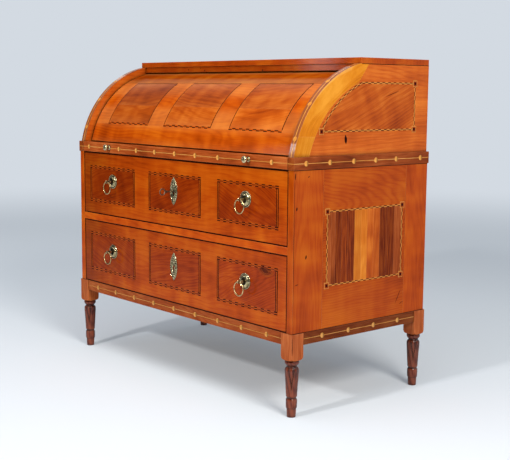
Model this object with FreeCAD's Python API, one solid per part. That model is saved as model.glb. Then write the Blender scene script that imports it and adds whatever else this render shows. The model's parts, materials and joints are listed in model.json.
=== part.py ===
import FreeCAD, Part
import math
import os

Vector = FreeCAD.Vector

# Cylinder desk in millimetres: X runs across, Y runs to the back, Z runs up from the floor.
# While building, Y is measured from the front of the case; save moves it to the middle of the desk.

# Case
case_width = 1200.0
case_depth = 600.0
leg_height = 262.0
lower_height = 494.0
waist_height = 38.0
cheek_height = 280.0
top_thickness = 19.0
side_thickness = 25.0
cheek_thickness = 23.0
cheek_set_in = 6.0
back_thickness = 12.0
back_board_gap = 0.6
lower_back_count = 3
upper_back_count = 2
waist_proud = 3.0
stile_width_front = 123.0
stile_width_back = 104.0
tongue_length = 10.0
tongue_thickness = 8.0

# Base and legs
base_height = 38.0
base_thickness = 24.0
bottom_thickness = 18.0
block_width = 50.0
block_height = 82.0
block_proud = 4.0
block_chamfer = 5.0
leg_radius = 21.5
leaf_count = 8
leaf_depth = 4.5
leaf_width = 9.0

# Height, radius and outward swell of each stretch of the turning, from the floor up
turning_shares = [
    (0.000, 0.62, 0.00),
    (0.155, 0.70, 0.00),
    (0.165, 0.78, 0.00),
    (0.310, 0.81, 0.02),
    (0.340, 0.71, 0.00),
    (0.370, 0.80, 0.00),
    (0.790, 1.00, 0.00),
    (0.870, 0.82, 0.11),
    (0.885, 0.75, 0.00),
    (0.905, 0.80, 0.00),
    (0.955, 1.02, 0.04),
    (1.000, 0.93, 0.02),
]
leaf_top_share = 0.79
leaf_tip_share = 0.52

# Cylinder: the cheek's arc, the shell that runs inside it and the lever below its pivot
arc_radius = 355.0
arc_front = 3.0
arc_top = 277.0
shell_recess = 27.0
shell_thickness = 16.0
shell_side_gap = 2.5
shell_lift = 2.5
shell_back_room = 12.0
end_thickness = 12.0
end_side_gap = 10.0
pivot_radius = 7.0
pivot_depth = 18.0
pivot_end = 2.0
collar_radius = 12.0
hub_radius = 30.0
lever_width_top = 46.0
lever_width_end = 40.0
lever_end = 14.0
pin_radius = 5.0
pin_drop = 240.0
pin_rate_share = 1.055
pin_past_end = 2.0
slot_play = 2.8

# Top board and the rail under its front edge
top_overlap = 3.0
top_rail_set_back = 3.0
top_rail_thickness = 18.0
top_rail_gap = 2.5

# Drawers
bottom_opening_height = 238.0
divider_height = 25.0
divider_depth = 45.0
drawer_gap = 2.0
drawer_recess = 1.5
front_thickness = 24.0
drawer_side_thickness = 12.0
drawer_bottom_thickness = 8.0
drawer_bottom_rise = 10.0
drawer_groove = 6.0
drawer_housing = 4.0
drawer_headroom = 6.0
drawer_back_room = 48.0
drawer_back_drop = 8.0
tail_count = 4
tail_length = 14.0
tail_root = 12.0
tail_spread = 3.0
tail_gap = 4.0
runner_width = 45.0
guide_width = 7.0
guide_height = 40.0
guide_gap = 1.0

# Locks and key
lock_rise = 8.0
lock_width = 64.0
lock_depth = 13.0
lock_wall = 2.0
lock_below_key = 32.0
bolt_width = 28.0
bolt_thickness = 6.0
bolt_play = 0.5
bolt_above_key = 14.0
bolt_pocket = 11.0
bolt_pocket_play = 2.5
keyhole_radius = 3.4
keyhole_slot = 4.0
keyhole_drop = 12.0
key_radius = 2.6
key_reach = 58.0
key_bow_radius = 10.0
key_bow_wire = 2.1
key_collar_radius = 4.4
key_collar_length = 4.0
key_bit_length = 10.0
key_bit_width = 6.0
key_bit_thickness = 2.4
key_tip_gap = 1.5

# Escutcheons and ring pulls
scutcheon_height = 96.0
scutcheon_width = 40.0
scutcheon_thickness = 2.2
pull_rise = 13.0
pull_spread = 378.0
rosette_radius = 26.0
rosette_rim = 2.0
rosette_dome = 9.0
post_reach = 26.0
post_radius = 4.5
ball_radius = 6.5
ball_hole_radius = 3.3
shank_radius = 3.0
shank_past_nut = 2.0
nut_width = 13.0
nut_thickness = 4.0
ring_radius = 22.0
ring_wire = 2.2
ring_hang = 0.5

# Writing slide
board_thickness = 19.0
board_drop = 4.0
board_back_gap = 6.0
band_thickness = 19.0
band_gap = 1.0
band_end_gap = 1.5
slide_rail_depth = 43.0
slide_rail_height = 15.0
slide_rail_gap = 1.0
bearer_width = 39.0
arm_thickness = 10.0
arm_width = 34.0
arm_foot = 14.0
arm_gap = 5.0
bearer_gap = 3.0
knob_spread = 394.0
knob_radius = 11.5
knob_neck_radius = 5.0
knob_length = 23.0
knob_drop_share = 0.42
knob_neck_share = 0.40
knob_rim_share = 0.66
knob_button_share = 0.25
knob_crown_shares = (0.80, 0.90)

# Inner gallery
gallery_side_gap = 3.0
gallery_depth = 288.0
gallery_lift = 2.0
gallery_height = 150.0
gallery_board = 10.0
gallery_bay_share = 0.5
tray_height = 66.0
tray_gap = 1.5
tray_front = 12.0
tray_side = 7.0
tray_bottom = 5.0
tray_back_room = 26.0
tray_knob_radius = 8.0
tray_knob_length = 14.0

# Clearances shared by all moving pieces, and the overrun of every cut
run_gap = 0.3
pin_gap = 0.05
overrun = 5.0

# Levels and planes worked out from the sizes above
case_half = case_width / 2
inner_half = case_half - side_thickness
cheek_outer = case_half - cheek_set_in
cheek_inner = cheek_outer - cheek_thickness
back_inner = case_depth - back_thickness
waist_z = leg_height + lower_height
cheek_z = waist_z + waist_height
top_z = cheek_z + cheek_height
board_top = cheek_z - board_drop
board_bottom = board_top - board_thickness
bearer_top = board_bottom - run_gap
slide_rail_bottom = bearer_top - slide_rail_height
divider_bottom = leg_height + bottom_opening_height
divider_top = divider_bottom + divider_height
face_y = drawer_recess
front_back_y = drawer_recess + front_thickness
band_front = -waist_proud
band_back = band_front + band_thickness
slide_rail_front = band_back + slide_rail_gap

# Planes across the desk, from the sides inwards
end_outer = inner_half - end_side_gap
end_inner = end_outer - end_thickness
arm_outer = end_inner - arm_gap
arm_inner = arm_outer - arm_thickness
bearer_outer = arm_inner - bearer_gap
guide_inner = bearer_outer - guide_width
box_half = guide_inner - guide_gap
box_inner = box_half - drawer_side_thickness
gallery_half = arm_outer - gallery_side_gap
shell_half = cheek_inner - shell_side_gap

# Centre of the cheek's arc: the one point at arc_radius from both of the arc's ends, behind and below it
chord = math.hypot(arc_top - arc_front, cheek_height)
reach = math.sqrt(arc_radius ** 2 - chord ** 2 / 4)
axis_y = (arc_front + arc_top) / 2 + reach * cheek_height / chord
axis_z = (cheek_z + top_z) / 2 - reach * (arc_top - arc_front) / chord
shell_outer = arc_radius - shell_recess
shell_inner = shell_outer - shell_thickness

# Top rail, and the turn of the shell from closed to open: it stops short of the back, or with its
# front edge under the top rail, whichever comes first
top_front = arc_top + top_overlap
top_rail_front = top_front + top_rail_set_back
top_rail_back = top_rail_front + top_rail_thickness
top_rail_bottom = axis_z + math.sqrt(shell_outer ** 2 - (axis_y - top_rail_back) ** 2) + top_rail_gap
shell_start = math.asin((cheek_z + shell_lift - axis_z) / shell_outer)
shell_end = math.acos((axis_y - top_rail_back) / shell_outer)
turn_to_rail = shell_end - shell_start
back_share = (back_inner - shell_back_room - axis_y) / shell_outer
turn_to_back = math.pi / 2 + math.asin(min(back_share, 1)) - shell_end
open_angle = min(turn_to_back, turn_to_rail)
lever_lean = open_angle / 2
slide_travel = pin_drop * pin_rate_share * open_angle
pin_y = axis_y + slide_travel / 2
pin_z = axis_z - pin_drop
slot_start = pin_drop - pin_radius - slot_play
slot_stop = pin_drop / math.cos(lever_lean) + pin_radius + slot_play
slot_width = 2 * (pin_radius + slot_play)

# The key stands furthest forward and the leg blocks furthest back
middle_y = (case_depth + block_proud - key_reach) / 2
sides = (("left", -1), ("right", 1))


def box(x0, x1, y0, y1, z0, z1):
    return Part.makeBox(x1 - x0, y1 - y0, z1 - z0, Vector(x0, y0, z0))


def rod_x(x0, x1, y, z, radius):
    return Part.makeCylinder(radius, x1 - x0, Vector(x0, y, z), Vector(1, 0, 0))


def rod_y(x, y0, y1, z, radius):
    return Part.makeCylinder(radius, y1 - y0, Vector(x, y0, z), Vector(0, 1, 0))


def on_side(shape, side):
    # Pieces are drawn for the right-hand side and mirrored for the left
    if side > 0:
        return shape
    return shape.mirror(Vector(0, 0, 0), Vector(1, 0, 0))


def pair(shape):
    return [on_side(shape, side) for name, side in sides]


def plate_x(edges, x0, x1):
    # A flat outline drawn in the plane at x0 and thickened to x1
    face = Part.Face(Part.Wire(edges))
    return face.extrude(Vector(x1 - x0, 0, 0))


def polygon_x(points, x0, x1):
    corners = [Vector(x0, y, z) for y, z in points]
    return Part.Face(Part.makePolygon(corners + corners[:1])).extrude(Vector(x1 - x0, 0, 0))


def arc_point(x, radius, angle):
    # A point about the cylinder's axis; angle zero points to the front and it grows upwards
    return Vector(x, axis_y - radius * math.cos(angle), axis_z + radius * math.sin(angle))


def line(start, end):
    return Part.LineSegment(start, end).toShape()


def arc(start, middle, end):
    return Part.Arc(start, middle, end).toShape()


def save(name, solids):
    if not isinstance(solids, list):
        solids = [solids]
    moved = []
    for solid in solids:
        copy = solid.copy()
        copy.translate(Vector(0, -middle_y, 0))
        moved.append(copy)
    shape = moved[0] if len(moved) == 1 else Part.makeCompound(moved)
    shape.exportStep(os.path.join("parts", name + ".step"))


def turned_leg():
    # The turning below the block, as one profile spun about its own axis
    height = leg_height - block_height
    points = []
    for height_share, radius_share, swell_share in turning_shares:
        points.append((height * height_share, leg_radius * radius_share, leg_radius * swell_share))
    edges = [line(Vector(0, 0, 0), Vector(points[0][1], 0, 0))]
    for (z0, r0, swell0), (z1, r1, swell1) in zip(points, points[1:]):
        start, end = Vector(r0, 0, z0), Vector(r1, 0, z1)
        if swell1:
            edges.append(arc(start, Vector((r0 + r1) / 2 + swell1, 0, (z0 + z1) / 2), end))
        else:
            edges.append(line(start, end))
    edges.append(line(end, Vector(0, 0, height)))
    edges.append(line(Vector(0, 0, height), Vector(0, 0, 0)))
    return Part.Face(Part.Wire(edges)).revolve(Vector(0, 0, 0), Vector(0, 0, 1), 360)


def leaf_dart():
    # One V-shaped dart between two carved leaves: wide and deep at the top, ending in a point
    height = leg_height - block_height
    top = height * leaf_top_share
    tip = height * leaf_tip_share
    inside = leg_radius - leaf_depth
    outside = leg_radius + leaf_depth
    wide = leaf_width * outside / leg_radius
    edge = [Vector(inside, 0, top), Vector(outside, wide, top), Vector(outside, -wide, top)]
    point = Vector(outside, 0, tip)
    faces = [Part.Face(Part.makePolygon(edge + edge[:1]))]
    for a, b in zip(edge, edge[1:] + edge[:1]):
        faces.append(Part.Face(Part.makePolygon([a, b, point, a])))
    return Part.makeSolid(Part.makeShell(faces))


def leg():
    # A square block under the case, a carved and turned foot below it
    half = block_width / 2
    bottom = leg_height - block_height
    block = box(-half, half, -half, half, bottom, leg_height)
    low_edges = [e for e in block.Edges if e.BoundBox.ZMax < bottom + block_chamfer]
    block = block.makeChamfer(block_chamfer, low_edges)
    turning = turned_leg()
    darts = []
    for i in range(leaf_count):
        dart = leaf_dart()
        dart.rotate(Vector(0, 0, 0), Vector(0, 0, 1), (i + 0.5) * 360 / leaf_count)
        darts.append(dart)
    return turning.cut(darts).fuse(block).removeSplitter()


def make_base():
    half = block_width / 2
    leg_x = case_half + block_proud - half
    rows = (("front", half - block_proud), ("back", case_depth + block_proud - half))
    for row, y in rows:
        for name, side in sides:
            piece = leg()
            piece.translate(Vector(side * leg_x, y, 0))
            save("leg_" + row + "_" + name, piece)
    low = leg_height - base_height
    block_inner = case_half + block_proud - block_width
    block_back = block_width - block_proud
    rail = box(-block_inner, block_inner, 0, base_thickness, low, leg_height)
    save("base_rail_front", rail)
    rail = box(-block_inner, block_inner, case_depth - base_thickness, case_depth, low, leg_height)
    save("base_rail_back", rail)
    for name, side in sides:
        inner = case_half - base_thickness
        rail = box(inner, case_half, block_back, case_depth - block_back, low, leg_height)
        save("base_rail_" + name, on_side(rail, side))
    board_half = case_half - base_thickness
    board_back = case_depth - base_thickness
    board_low = leg_height - bottom_thickness
    bottom = box(-board_half, board_half, base_thickness, board_back, board_low, leg_height)
    corner_x = (block_inner, case_half)
    for y0, y1 in ((0, block_back), (case_depth - block_back, case_depth)):
        bottom = bottom.cut(pair(box(*corner_x, y0, y1, 0, top_z)))
    save("bottom_board", bottom)


def pivot_pin():
    # A shouldered pin let into the side; the cylinder's end turns on its inner length
    pin = rod_x(end_inner - pivot_end, inner_half + pivot_depth, axis_y, axis_z, pivot_radius)
    return pin.fuse(rod_x(end_outer + run_gap, inner_half, axis_y, axis_z, collar_radius)).removeSplitter()


def make_sides():
    # Each lower side is a panel tongued into a front and a back stile
    panel_back = case_depth - stile_width_back
    middle = inner_half + side_thickness / 2
    tongue_half = tongue_thickness / 2
    panel = box(inner_half, case_half, stile_width_front, panel_back, leg_height, waist_z)
    for y0, y1 in ((stile_width_front - tongue_length, stile_width_front),
                   (panel_back, panel_back + tongue_length)):
        panel = panel.fuse(box(middle - tongue_half, middle + tongue_half, y0, y1, leg_height, waist_z))
    pin = pivot_pin()
    panel = panel.removeSplitter()
    front = box(inner_half, case_half, 0, stile_width_front, leg_height, waist_z).cut(panel)
    back = box(inner_half, case_half, panel_back, case_depth, leg_height, waist_z).cut(panel)
    waist_outer = case_half + waist_proud
    waist_back = case_depth + waist_proud
    waist = box(inner_half, waist_outer, -waist_proud, waist_back, waist_z, cheek_z)
    for name, side in sides:
        save("side_panel_" + name, on_side(panel.cut(pin), side))
        save("side_stiles_" + name, [on_side(front, side), on_side(back, side)])
        save("waist_band_" + name, on_side(waist.cut(pin), side))
    save("cylinder_pivots", pair(pin))


def back_boards(half, low, high, count):
    # Boards laid edge to edge from the bottom up, with a little room for the wood to swell
    height = (high - low - back_board_gap * (count - 1)) / count
    boards = []
    for i in range(count):
        z = low + i * (height + back_board_gap)
        boards.append(box(-half, half, back_inner, case_depth, z, z + height))
    return boards


def make_backs():
    save("lower_back_panel", back_boards(inner_half, leg_height, cheek_z, lower_back_count))
    save("upper_back_panel", back_boards(cheek_inner, cheek_z, top_z, upper_back_count))


def make_upper_case():
    # Cheeks with a round front, the board across them and the rail under its front edge
    x0 = cheek_inner
    low_front = Vector(x0, arc_front, cheek_z)
    high_front = Vector(x0, arc_top, top_z)
    start = math.asin((cheek_z - axis_z) / arc_radius)
    end = math.asin((top_z - axis_z) / arc_radius)
    edges = [
        arc(low_front, arc_point(x0, arc_radius, (start + end) / 2), high_front),
        line(high_front, Vector(x0, case_depth, top_z)),
        line(Vector(x0, case_depth, top_z), Vector(x0, case_depth, cheek_z)),
        line(Vector(x0, case_depth, cheek_z), low_front),
    ]
    cheek = plate_x(edges, cheek_inner, cheek_outer)
    for name, side in sides:
        save("cheek_" + name, on_side(cheek, side))
    save("top_board", box(-cheek_outer, cheek_outer, top_front, case_depth, top_z, top_z + top_thickness))
    rail = box(-cheek_inner, cheek_inner, top_rail_front, top_rail_back, top_rail_bottom, top_z)
    save("top_front_rail", rail)


def bolt_pocket_cut(low_z):
    # The pocket that a drawer's lock bolt rises into, open below
    play = bolt_pocket_play
    half = bolt_width / 2 + play
    y0, y1 = bolt_span()
    return box(-half, half, y0 - play, y1 + play, low_z - overrun, low_z + bolt_pocket)


def bolt_span():
    y0 = front_back_y + (lock_depth - lock_wall - bolt_thickness) / 2
    return y0, y0 + bolt_thickness


def make_dividers():
    # The rail between the drawers, the runners behind it and the strips that guide the drawers
    rail = box(-inner_half, inner_half, 0, divider_depth, divider_bottom, divider_top)
    save("drawer_divider_rail", rail.cut(bolt_pocket_cut(divider_bottom)))
    outer = bearer_outer
    strips = pair(box(outer - runner_width, outer, divider_depth, back_inner, divider_bottom, divider_top))
    for z in (leg_height, divider_top):
        strips += pair(box(guide_inner, outer, divider_depth, back_inner, z, z + guide_height))
    save("drawer_runners", strips)


def make_slide_bearers():
    # The rail behind the writing slide's front and the two bearers that the slide runs on
    rail_back = slide_rail_front + slide_rail_depth
    rail = box(-inner_half, inner_half, slide_rail_front, rail_back, slide_rail_bottom, bearer_top)
    rail = rail.cut(bolt_pocket_cut(slide_rail_bottom))
    inner = bearer_outer - bearer_width
    bearers = pair(box(inner, bearer_outer, rail_back, back_inner, slide_rail_bottom, bearer_top))
    save("slide_bearers", [rail] + bearers)


def make_cylinder():
    # The curved shell and the two ends that carry it, each with a slotted lever below its pivot
    x0 = -shell_half
    middle = (shell_start + shell_end) / 2
    a, b = arc_point(x0, shell_outer, shell_start), arc_point(x0, shell_outer, shell_end)
    c, d = arc_point(x0, shell_inner, shell_end), arc_point(x0, shell_inner, shell_start)
    edges = [arc(a, arc_point(x0, shell_outer, middle), b), line(b, c),
             arc(c, arc_point(x0, shell_inner, middle), d), line(d, a)]
    save("cylinder_shell", plate_x(edges, -shell_half, shell_half))

    x0 = end_inner
    hub = Vector(x0, axis_y, axis_z)
    d, c = arc_point(x0, shell_inner, shell_start), arc_point(x0, shell_inner, shell_end)
    edges = [line(hub, d), arc(d, arc_point(x0, shell_inner, middle), c), line(c, hub)]
    end = plate_x(edges, end_inner, end_outer)
    end = end.fuse(rod_x(end_inner, end_outer, axis_y, axis_z, hub_radius)).fuse(slotted_lever())
    end = end.cut(lever_slot()).cut(rod_x(end_inner - overrun, end_outer + overrun, axis_y, axis_z,
                                          pivot_radius + pin_gap)).removeSplitter()
    for name, side in sides:
        save("cylinder_end_" + name, on_side(end, side))


def lean(shape):
    # The lever is drawn hanging straight down and leans back by half the turn of the cylinder
    shape.rotate(Vector(0, axis_y, axis_z), Vector(1, 0, 0), math.degrees(lever_lean))
    return shape


def slotted_lever():
    half_top, half_end = lever_width_top / 2, lever_width_end / 2
    end_z = axis_z - slot_stop - lever_end + half_end
    outline = [(axis_y - half_top, axis_z), (axis_y + half_top, axis_z),
               (axis_y + half_end, end_z), (axis_y - half_end, end_z)]
    lever = polygon_x(outline, end_inner, end_outer)
    return lean(lever.fuse(rod_x(end_inner, end_outer, axis_y, end_z, half_end)))


def lever_slot():
    half = slot_width / 2
    x0, x1 = end_inner - overrun, end_outer + overrun
    high, low = axis_z - slot_start - half, axis_z - slot_stop + half
    slot = rod_x(x0, x1, axis_y, high, half).fuse(rod_x(x0, x1, axis_y, low, half))
    return lean(slot.fuse(box(x0, x1, axis_y - half, axis_y + half, low, high)))


def turned_knob(x, y, z, radius, neck, length):
    # A mushroom knob with its axis to the front: neck, swelling head and rounded face
    neck_end = length * knob_neck_share
    rim = length * knob_rim_share
    button = radius * knob_button_share
    crown = Vector(radius * knob_crown_shares[0], -length * knob_crown_shares[1], 0)
    edges = [
        line(Vector(0, 0, 0), Vector(neck, 0, 0)),
        line(Vector(neck, 0, 0), Vector(neck, -neck_end, 0)),
        line(Vector(neck, -neck_end, 0), Vector(radius, -rim, 0)),
        arc(Vector(radius, -rim, 0), crown, Vector(button, -length, 0)),
        line(Vector(button, -length, 0), Vector(0, -length, 0)),
        line(Vector(0, -length, 0), Vector(0, 0, 0)),
    ]
    knob = Part.Face(Part.Wire(edges)).revolve(Vector(0, 0, 0), Vector(0, 1, 0), 360)
    knob.translate(Vector(x, y, z))
    return knob


def make_writing_slide():
    # The board, the inlaid band on its front edge, two knobs, and the arms that move the cylinder's levers
    board_back = back_inner - board_back_gap
    save("writing_board", box(-arm_outer, arm_outer, band_back, board_back, board_bottom, board_top))
    band_half = inner_half - band_end_gap
    band_low, band_high = waist_z + band_gap, cheek_z - band_gap / 2
    save("slide_front_band", box(-band_half, band_half, band_front, band_back, band_low, band_high))
    knob_z = band_high - (band_high - band_low) * knob_drop_share
    knob = turned_knob(knob_spread, band_front, knob_z, knob_radius, knob_neck_radius, knob_length)
    save("slide_knobs", pair(knob))
    half = arm_width / 2
    arm = box(arm_inner, arm_outer, pin_y - half, pin_y + half, pin_z - arm_foot, board_bottom)
    pin = rod_x(arm_inner, end_outer + pin_past_end, pin_y, pin_z, pin_radius)
    save("slide_drop_arms", pair(arm.cut(pin)) + pair(pin))


def keyhole(key_z, y0, y1):
    hole = rod_y(0, y0, y1, key_z, keyhole_radius)
    half = keyhole_slot / 2
    return hole.fuse(box(-half, half, y0, y1, key_z - keyhole_drop, key_z))


def dovetails(low_z, high_z):
    # Tails on the front end of a drawer's side, wider at their tips than at their roots
    pitch = (high_z - low_z) / tail_count
    tails = []
    for i in range(tail_count):
        z = low_z + (i + 0.5) * pitch
        root, tip = tail_root / 2, tail_root / 2 + tail_spread
        y0, y1 = front_back_y - tail_length, front_back_y
        outline = [(y1, z - root), (y1, z + root), (y0, z + tip), (y0, z - tip)]
        tails.append(polygon_x(outline, box_inner, box_half))
    return tails


def make_drawer(row, low_z, high_z):
    front_low, front_high = low_z + drawer_gap, high_z - drawer_gap
    front_half = inner_half - drawer_gap
    middle_z = (front_low + front_high) / 2
    key_z = middle_z + lock_rise
    pull_z = middle_z + pull_rise
    side_low, side_high = low_z + run_gap, high_z - drawer_headroom
    box_back = back_inner - drawer_back_room
    floor_low = side_low + drawer_bottom_rise
    floor_high = floor_low + drawer_bottom_thickness
    back_front = box_back - drawer_side_thickness

    floor_half = box_inner + drawer_groove
    floor = box(-floor_half, floor_half, front_back_y - drawer_groove, box_back, floor_low, floor_high)
    save(row + "_drawer_bottom", floor)
    back_half = box_inner + drawer_housing
    back = box(-back_half, back_half, back_front, box_back, floor_high, side_high - drawer_back_drop)
    save(row + "_drawer_back", back)
    side = box(box_inner, box_half, front_back_y, box_back, side_low, side_high)
    tails = dovetails(floor_high + tail_gap, side_high - tail_gap)
    side = side.fuse(tails).cut([floor, back]).removeSplitter()
    both = pair(side)
    save(row + "_drawer_sides", both)

    pulls = [pull_mount(x, pull_z) for x in (-pull_spread, pull_spread)]
    front = box(-front_half, front_half, face_y, front_back_y, front_low, front_high)
    front = front.cut(both + [floor, keyhole(key_z, -overrun, front_back_y + overrun)] + pulls)
    save(row + "_drawer_front", front)
    nuts = [pull_nut(x, pull_z).cut(mount) for x, mount in zip((-pull_spread, pull_spread), pulls)]
    save(row + "_drawer_pull_mounts", pulls + nuts)
    save(row + "_drawer_escutcheon", escutcheon(key_z))
    save(row + "_drawer_lock", lock_case(key_z, front_high))
    save(row + "_lock_bolt", lock_bolt(key_z, front_high))
    for name, x in (("left", -pull_spread), ("right", pull_spread)):
        save(row + "_ring_" + name, pull_ring(x, pull_z))
    return key_z


def pull_mount(x, z):
    # A domed rosette, its post with the pierced ball that holds the ring, and its shank through the front
    dome = face_y - rosette_dome
    rim = face_y - rosette_rim
    tip = face_y - post_reach
    shank_end = front_back_y + nut_thickness + shank_past_nut
    swell = Vector((rosette_radius + post_radius) / 2, (2 * dome + rim) / 3, 0)
    edges = [
        line(Vector(0, shank_end, 0), Vector(shank_radius, shank_end, 0)),
        line(Vector(shank_radius, shank_end, 0), Vector(shank_radius, face_y, 0)),
        line(Vector(shank_radius, face_y, 0), Vector(rosette_radius, face_y, 0)),
        line(Vector(rosette_radius, face_y, 0), Vector(rosette_radius, rim, 0)),
        arc(Vector(rosette_radius, rim, 0), swell, Vector(post_radius, dome, 0)),
        line(Vector(post_radius, dome, 0), Vector(post_radius, tip, 0)),
        line(Vector(post_radius, tip, 0), Vector(0, tip, 0)),
        line(Vector(0, tip, 0), Vector(0, shank_end, 0)),
    ]
    mount = Part.Face(Part.Wire(edges)).revolve(Vector(0, 0, 0), Vector(0, 1, 0), 360)
    mount = mount.fuse(Part.makeSphere(ball_radius, Vector(0, tip, 0)))
    mount = mount.cut(rod_x(-rosette_radius, rosette_radius, tip, 0, ball_hole_radius)).removeSplitter()
    mount.translate(Vector(x, 0, z))
    return mount


def pull_nut(x, z):
    half = nut_width / 2
    return box(x - half, x + half, front_back_y, front_back_y + nut_thickness, z - half, z + half)


def pull_ring(x, z):
    # The ring hangs by its wire in the ball's hole
    centre = Vector(x, face_y - post_reach, z - ring_radius + ring_hang)
    return Part.makeTorus(ring_radius, ring_wire, centre, Vector(0, 1, 0))


def escutcheon(key_z):
    # A pointed oval plate with a keyhole
    half_height, half_width = scutcheon_height / 2, scutcheon_width / 2
    y0 = face_y - scutcheon_thickness
    top, bottom = Vector(0, y0, key_z + half_height), Vector(0, y0, key_z - half_height)
    right, left = Vector(half_width, y0, key_z), Vector(-half_width, y0, key_z)
    face = Part.Face(Part.Wire([arc(bottom, right, top), arc(top, left, bottom)]))
    plate = face.extrude(Vector(0, scutcheon_thickness, 0))
    return plate.cut(keyhole(key_z, y0 - overrun, face_y + overrun))


def lock_case(key_z, top):
    # A box lock on the back of the drawer front, open to the front, with a slot above for the bolt
    half = lock_width / 2
    bottom = key_z - lock_below_key
    back = front_back_y + lock_depth
    case = box(-half, half, front_back_y, back, bottom, top)
    inside = box(-half + lock_wall, half - lock_wall, front_back_y - overrun, back - lock_wall,
                 bottom + lock_wall, top - lock_wall)
    y0, y1 = bolt_span()
    slot_half = bolt_width / 2 + bolt_play
    slot_low = top - lock_wall - overrun
    slot = box(-slot_half, slot_half, y0 - bolt_play, y1 + bolt_play, slot_low, top + overrun)
    return case.cut([inside, slot])


def lock_bolt(key_z, top):
    y0, y1 = bolt_span()
    half = bolt_width / 2
    return box(-half, half, y0, y1, key_z + bolt_above_key, top - bolt_play)


def make_key(key_z):
    # Bow, collar, shank and bit, with the bit hanging down inside the lock
    bow_y = key_bow_radius + key_bow_wire - key_reach
    tip = front_back_y + lock_depth - lock_wall - key_tip_gap
    neck = bow_y + key_bow_radius
    key = rod_y(0, neck, tip, key_z, key_radius)
    key = key.fuse(Part.makeTorus(key_bow_radius, key_bow_wire, Vector(0, bow_y, key_z), Vector(1, 0, 0)))
    collar = neck + key_collar_length
    key = key.fuse(rod_y(0, collar, collar + key_collar_length, key_z, key_collar_radius))
    half = key_bit_thickness / 2
    key = key.fuse(box(-half, half, tip - key_bit_width, tip, key_z - key_bit_length, key_z))
    save("key", key.removeSplitter())


def make_gallery():
    # A nest of pigeonholes on the back of the writing space, with a small drawer at each end
    y0 = back_inner - gallery_depth
    low = board_top + gallery_lift
    floor_top = low + gallery_board
    top_low = low + gallery_height - gallery_board
    half = gallery_half
    bay = half * gallery_bay_share
    end = half - gallery_board
    shelf_low = floor_top + tray_height
    save("gallery_top", box(-half, half, y0, back_inner, top_low, top_low + gallery_board))
    shelf = box(bay, end, y0, back_inner, shelf_low, shelf_low + gallery_board)
    save("gallery_shelves", [box(-half, half, y0, back_inner, low, floor_top)] + pair(shelf))
    uprights = pair(box(end, half, y0, back_inner, floor_top, top_low))
    uprights += pair(box(bay - gallery_board, bay, y0, back_inner, floor_top, top_low))
    third = (bay - gallery_board) / 3
    thin = gallery_board / 2
    uprights += pair(box(third - thin, third + thin, y0, back_inner, floor_top, top_low))
    save("gallery_uprights", uprights)
    for name, side in sides:
        pieces = gallery_tray(bay + tray_gap, end - tray_gap, y0, floor_top + run_gap, shelf_low - tray_gap)
        save("gallery_drawer_" + name, [on_side(piece, side) for piece in pieces])
        knob_z = (floor_top + shelf_low) / 2
        neck = tray_knob_radius / 2
        knob = turned_knob((bay + end) / 2, y0, knob_z, tray_knob_radius, neck, tray_knob_length)
        save("gallery_knob_" + name, on_side(knob, side))


def gallery_tray(x0, x1, y0, z0, z1):
    # Front, two sides, back and bottom of one small drawer
    y1 = back_inner - tray_back_room
    inner = y0 + tray_front
    floor_top = z0 + tray_bottom
    return [
        box(x0, x1, y0, inner, z0, z1),
        box(x0, x0 + tray_side, inner, y1, z0, z1),
        box(x1 - tray_side, x1, inner, y1, z0, z1),
        box(x0 + tray_side, x1 - tray_side, y1 - tray_side, y1, floor_top, z1),
        box(x0 + tray_side, x1 - tray_side, inner, y1, z0, floor_top),
    ]


def main():
    os.makedirs("parts", exist_ok=True)
    make_base()
    make_sides()
    make_backs()
    make_upper_case()
    make_dividers()
    make_slide_bearers()
    make_cylinder()
    make_writing_slide()
    make_drawer("bottom", leg_height, divider_bottom)
    key_z = make_drawer("top", divider_top, slide_rail_bottom)
    make_key(key_z)
    make_gallery()
    print("pivot at Y %.2f, Z %.2f" % (axis_y - middle_y, axis_z))
    print("cylinder turns %.3f degrees, slide travels %.2f" % (math.degrees(open_angle), slide_travel))
    print("key at Z %.2f" % key_z)


main()
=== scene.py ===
import bpy
import bmesh
import json
import math
from mathutils import Matrix, Vector


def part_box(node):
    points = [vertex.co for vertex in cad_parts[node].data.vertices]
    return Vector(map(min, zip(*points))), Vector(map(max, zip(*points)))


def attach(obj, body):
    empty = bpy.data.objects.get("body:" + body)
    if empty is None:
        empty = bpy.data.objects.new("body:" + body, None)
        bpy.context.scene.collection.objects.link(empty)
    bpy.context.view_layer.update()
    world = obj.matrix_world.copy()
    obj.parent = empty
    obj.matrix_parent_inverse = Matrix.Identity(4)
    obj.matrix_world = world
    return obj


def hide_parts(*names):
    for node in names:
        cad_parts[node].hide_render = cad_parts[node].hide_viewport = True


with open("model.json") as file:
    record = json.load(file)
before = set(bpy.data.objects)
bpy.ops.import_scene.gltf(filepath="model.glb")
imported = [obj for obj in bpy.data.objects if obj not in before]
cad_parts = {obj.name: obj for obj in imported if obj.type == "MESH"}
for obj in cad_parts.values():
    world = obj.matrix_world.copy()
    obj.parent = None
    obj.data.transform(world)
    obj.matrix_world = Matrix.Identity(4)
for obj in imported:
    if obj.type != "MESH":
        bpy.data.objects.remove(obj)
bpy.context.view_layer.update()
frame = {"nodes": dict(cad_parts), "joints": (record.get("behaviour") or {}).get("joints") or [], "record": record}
nodes = frame["nodes"]
bodyOf = {node: body for body, members in frame["record"]["behaviour"]["bodies"].items() for node in members}
scene = bpy.context.scene
scene.view_settings.view_transform = "Standard"
mm = 0.001
sides = (("left", -1), ("right", 1))
rows = ("top", "bottom")

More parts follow.
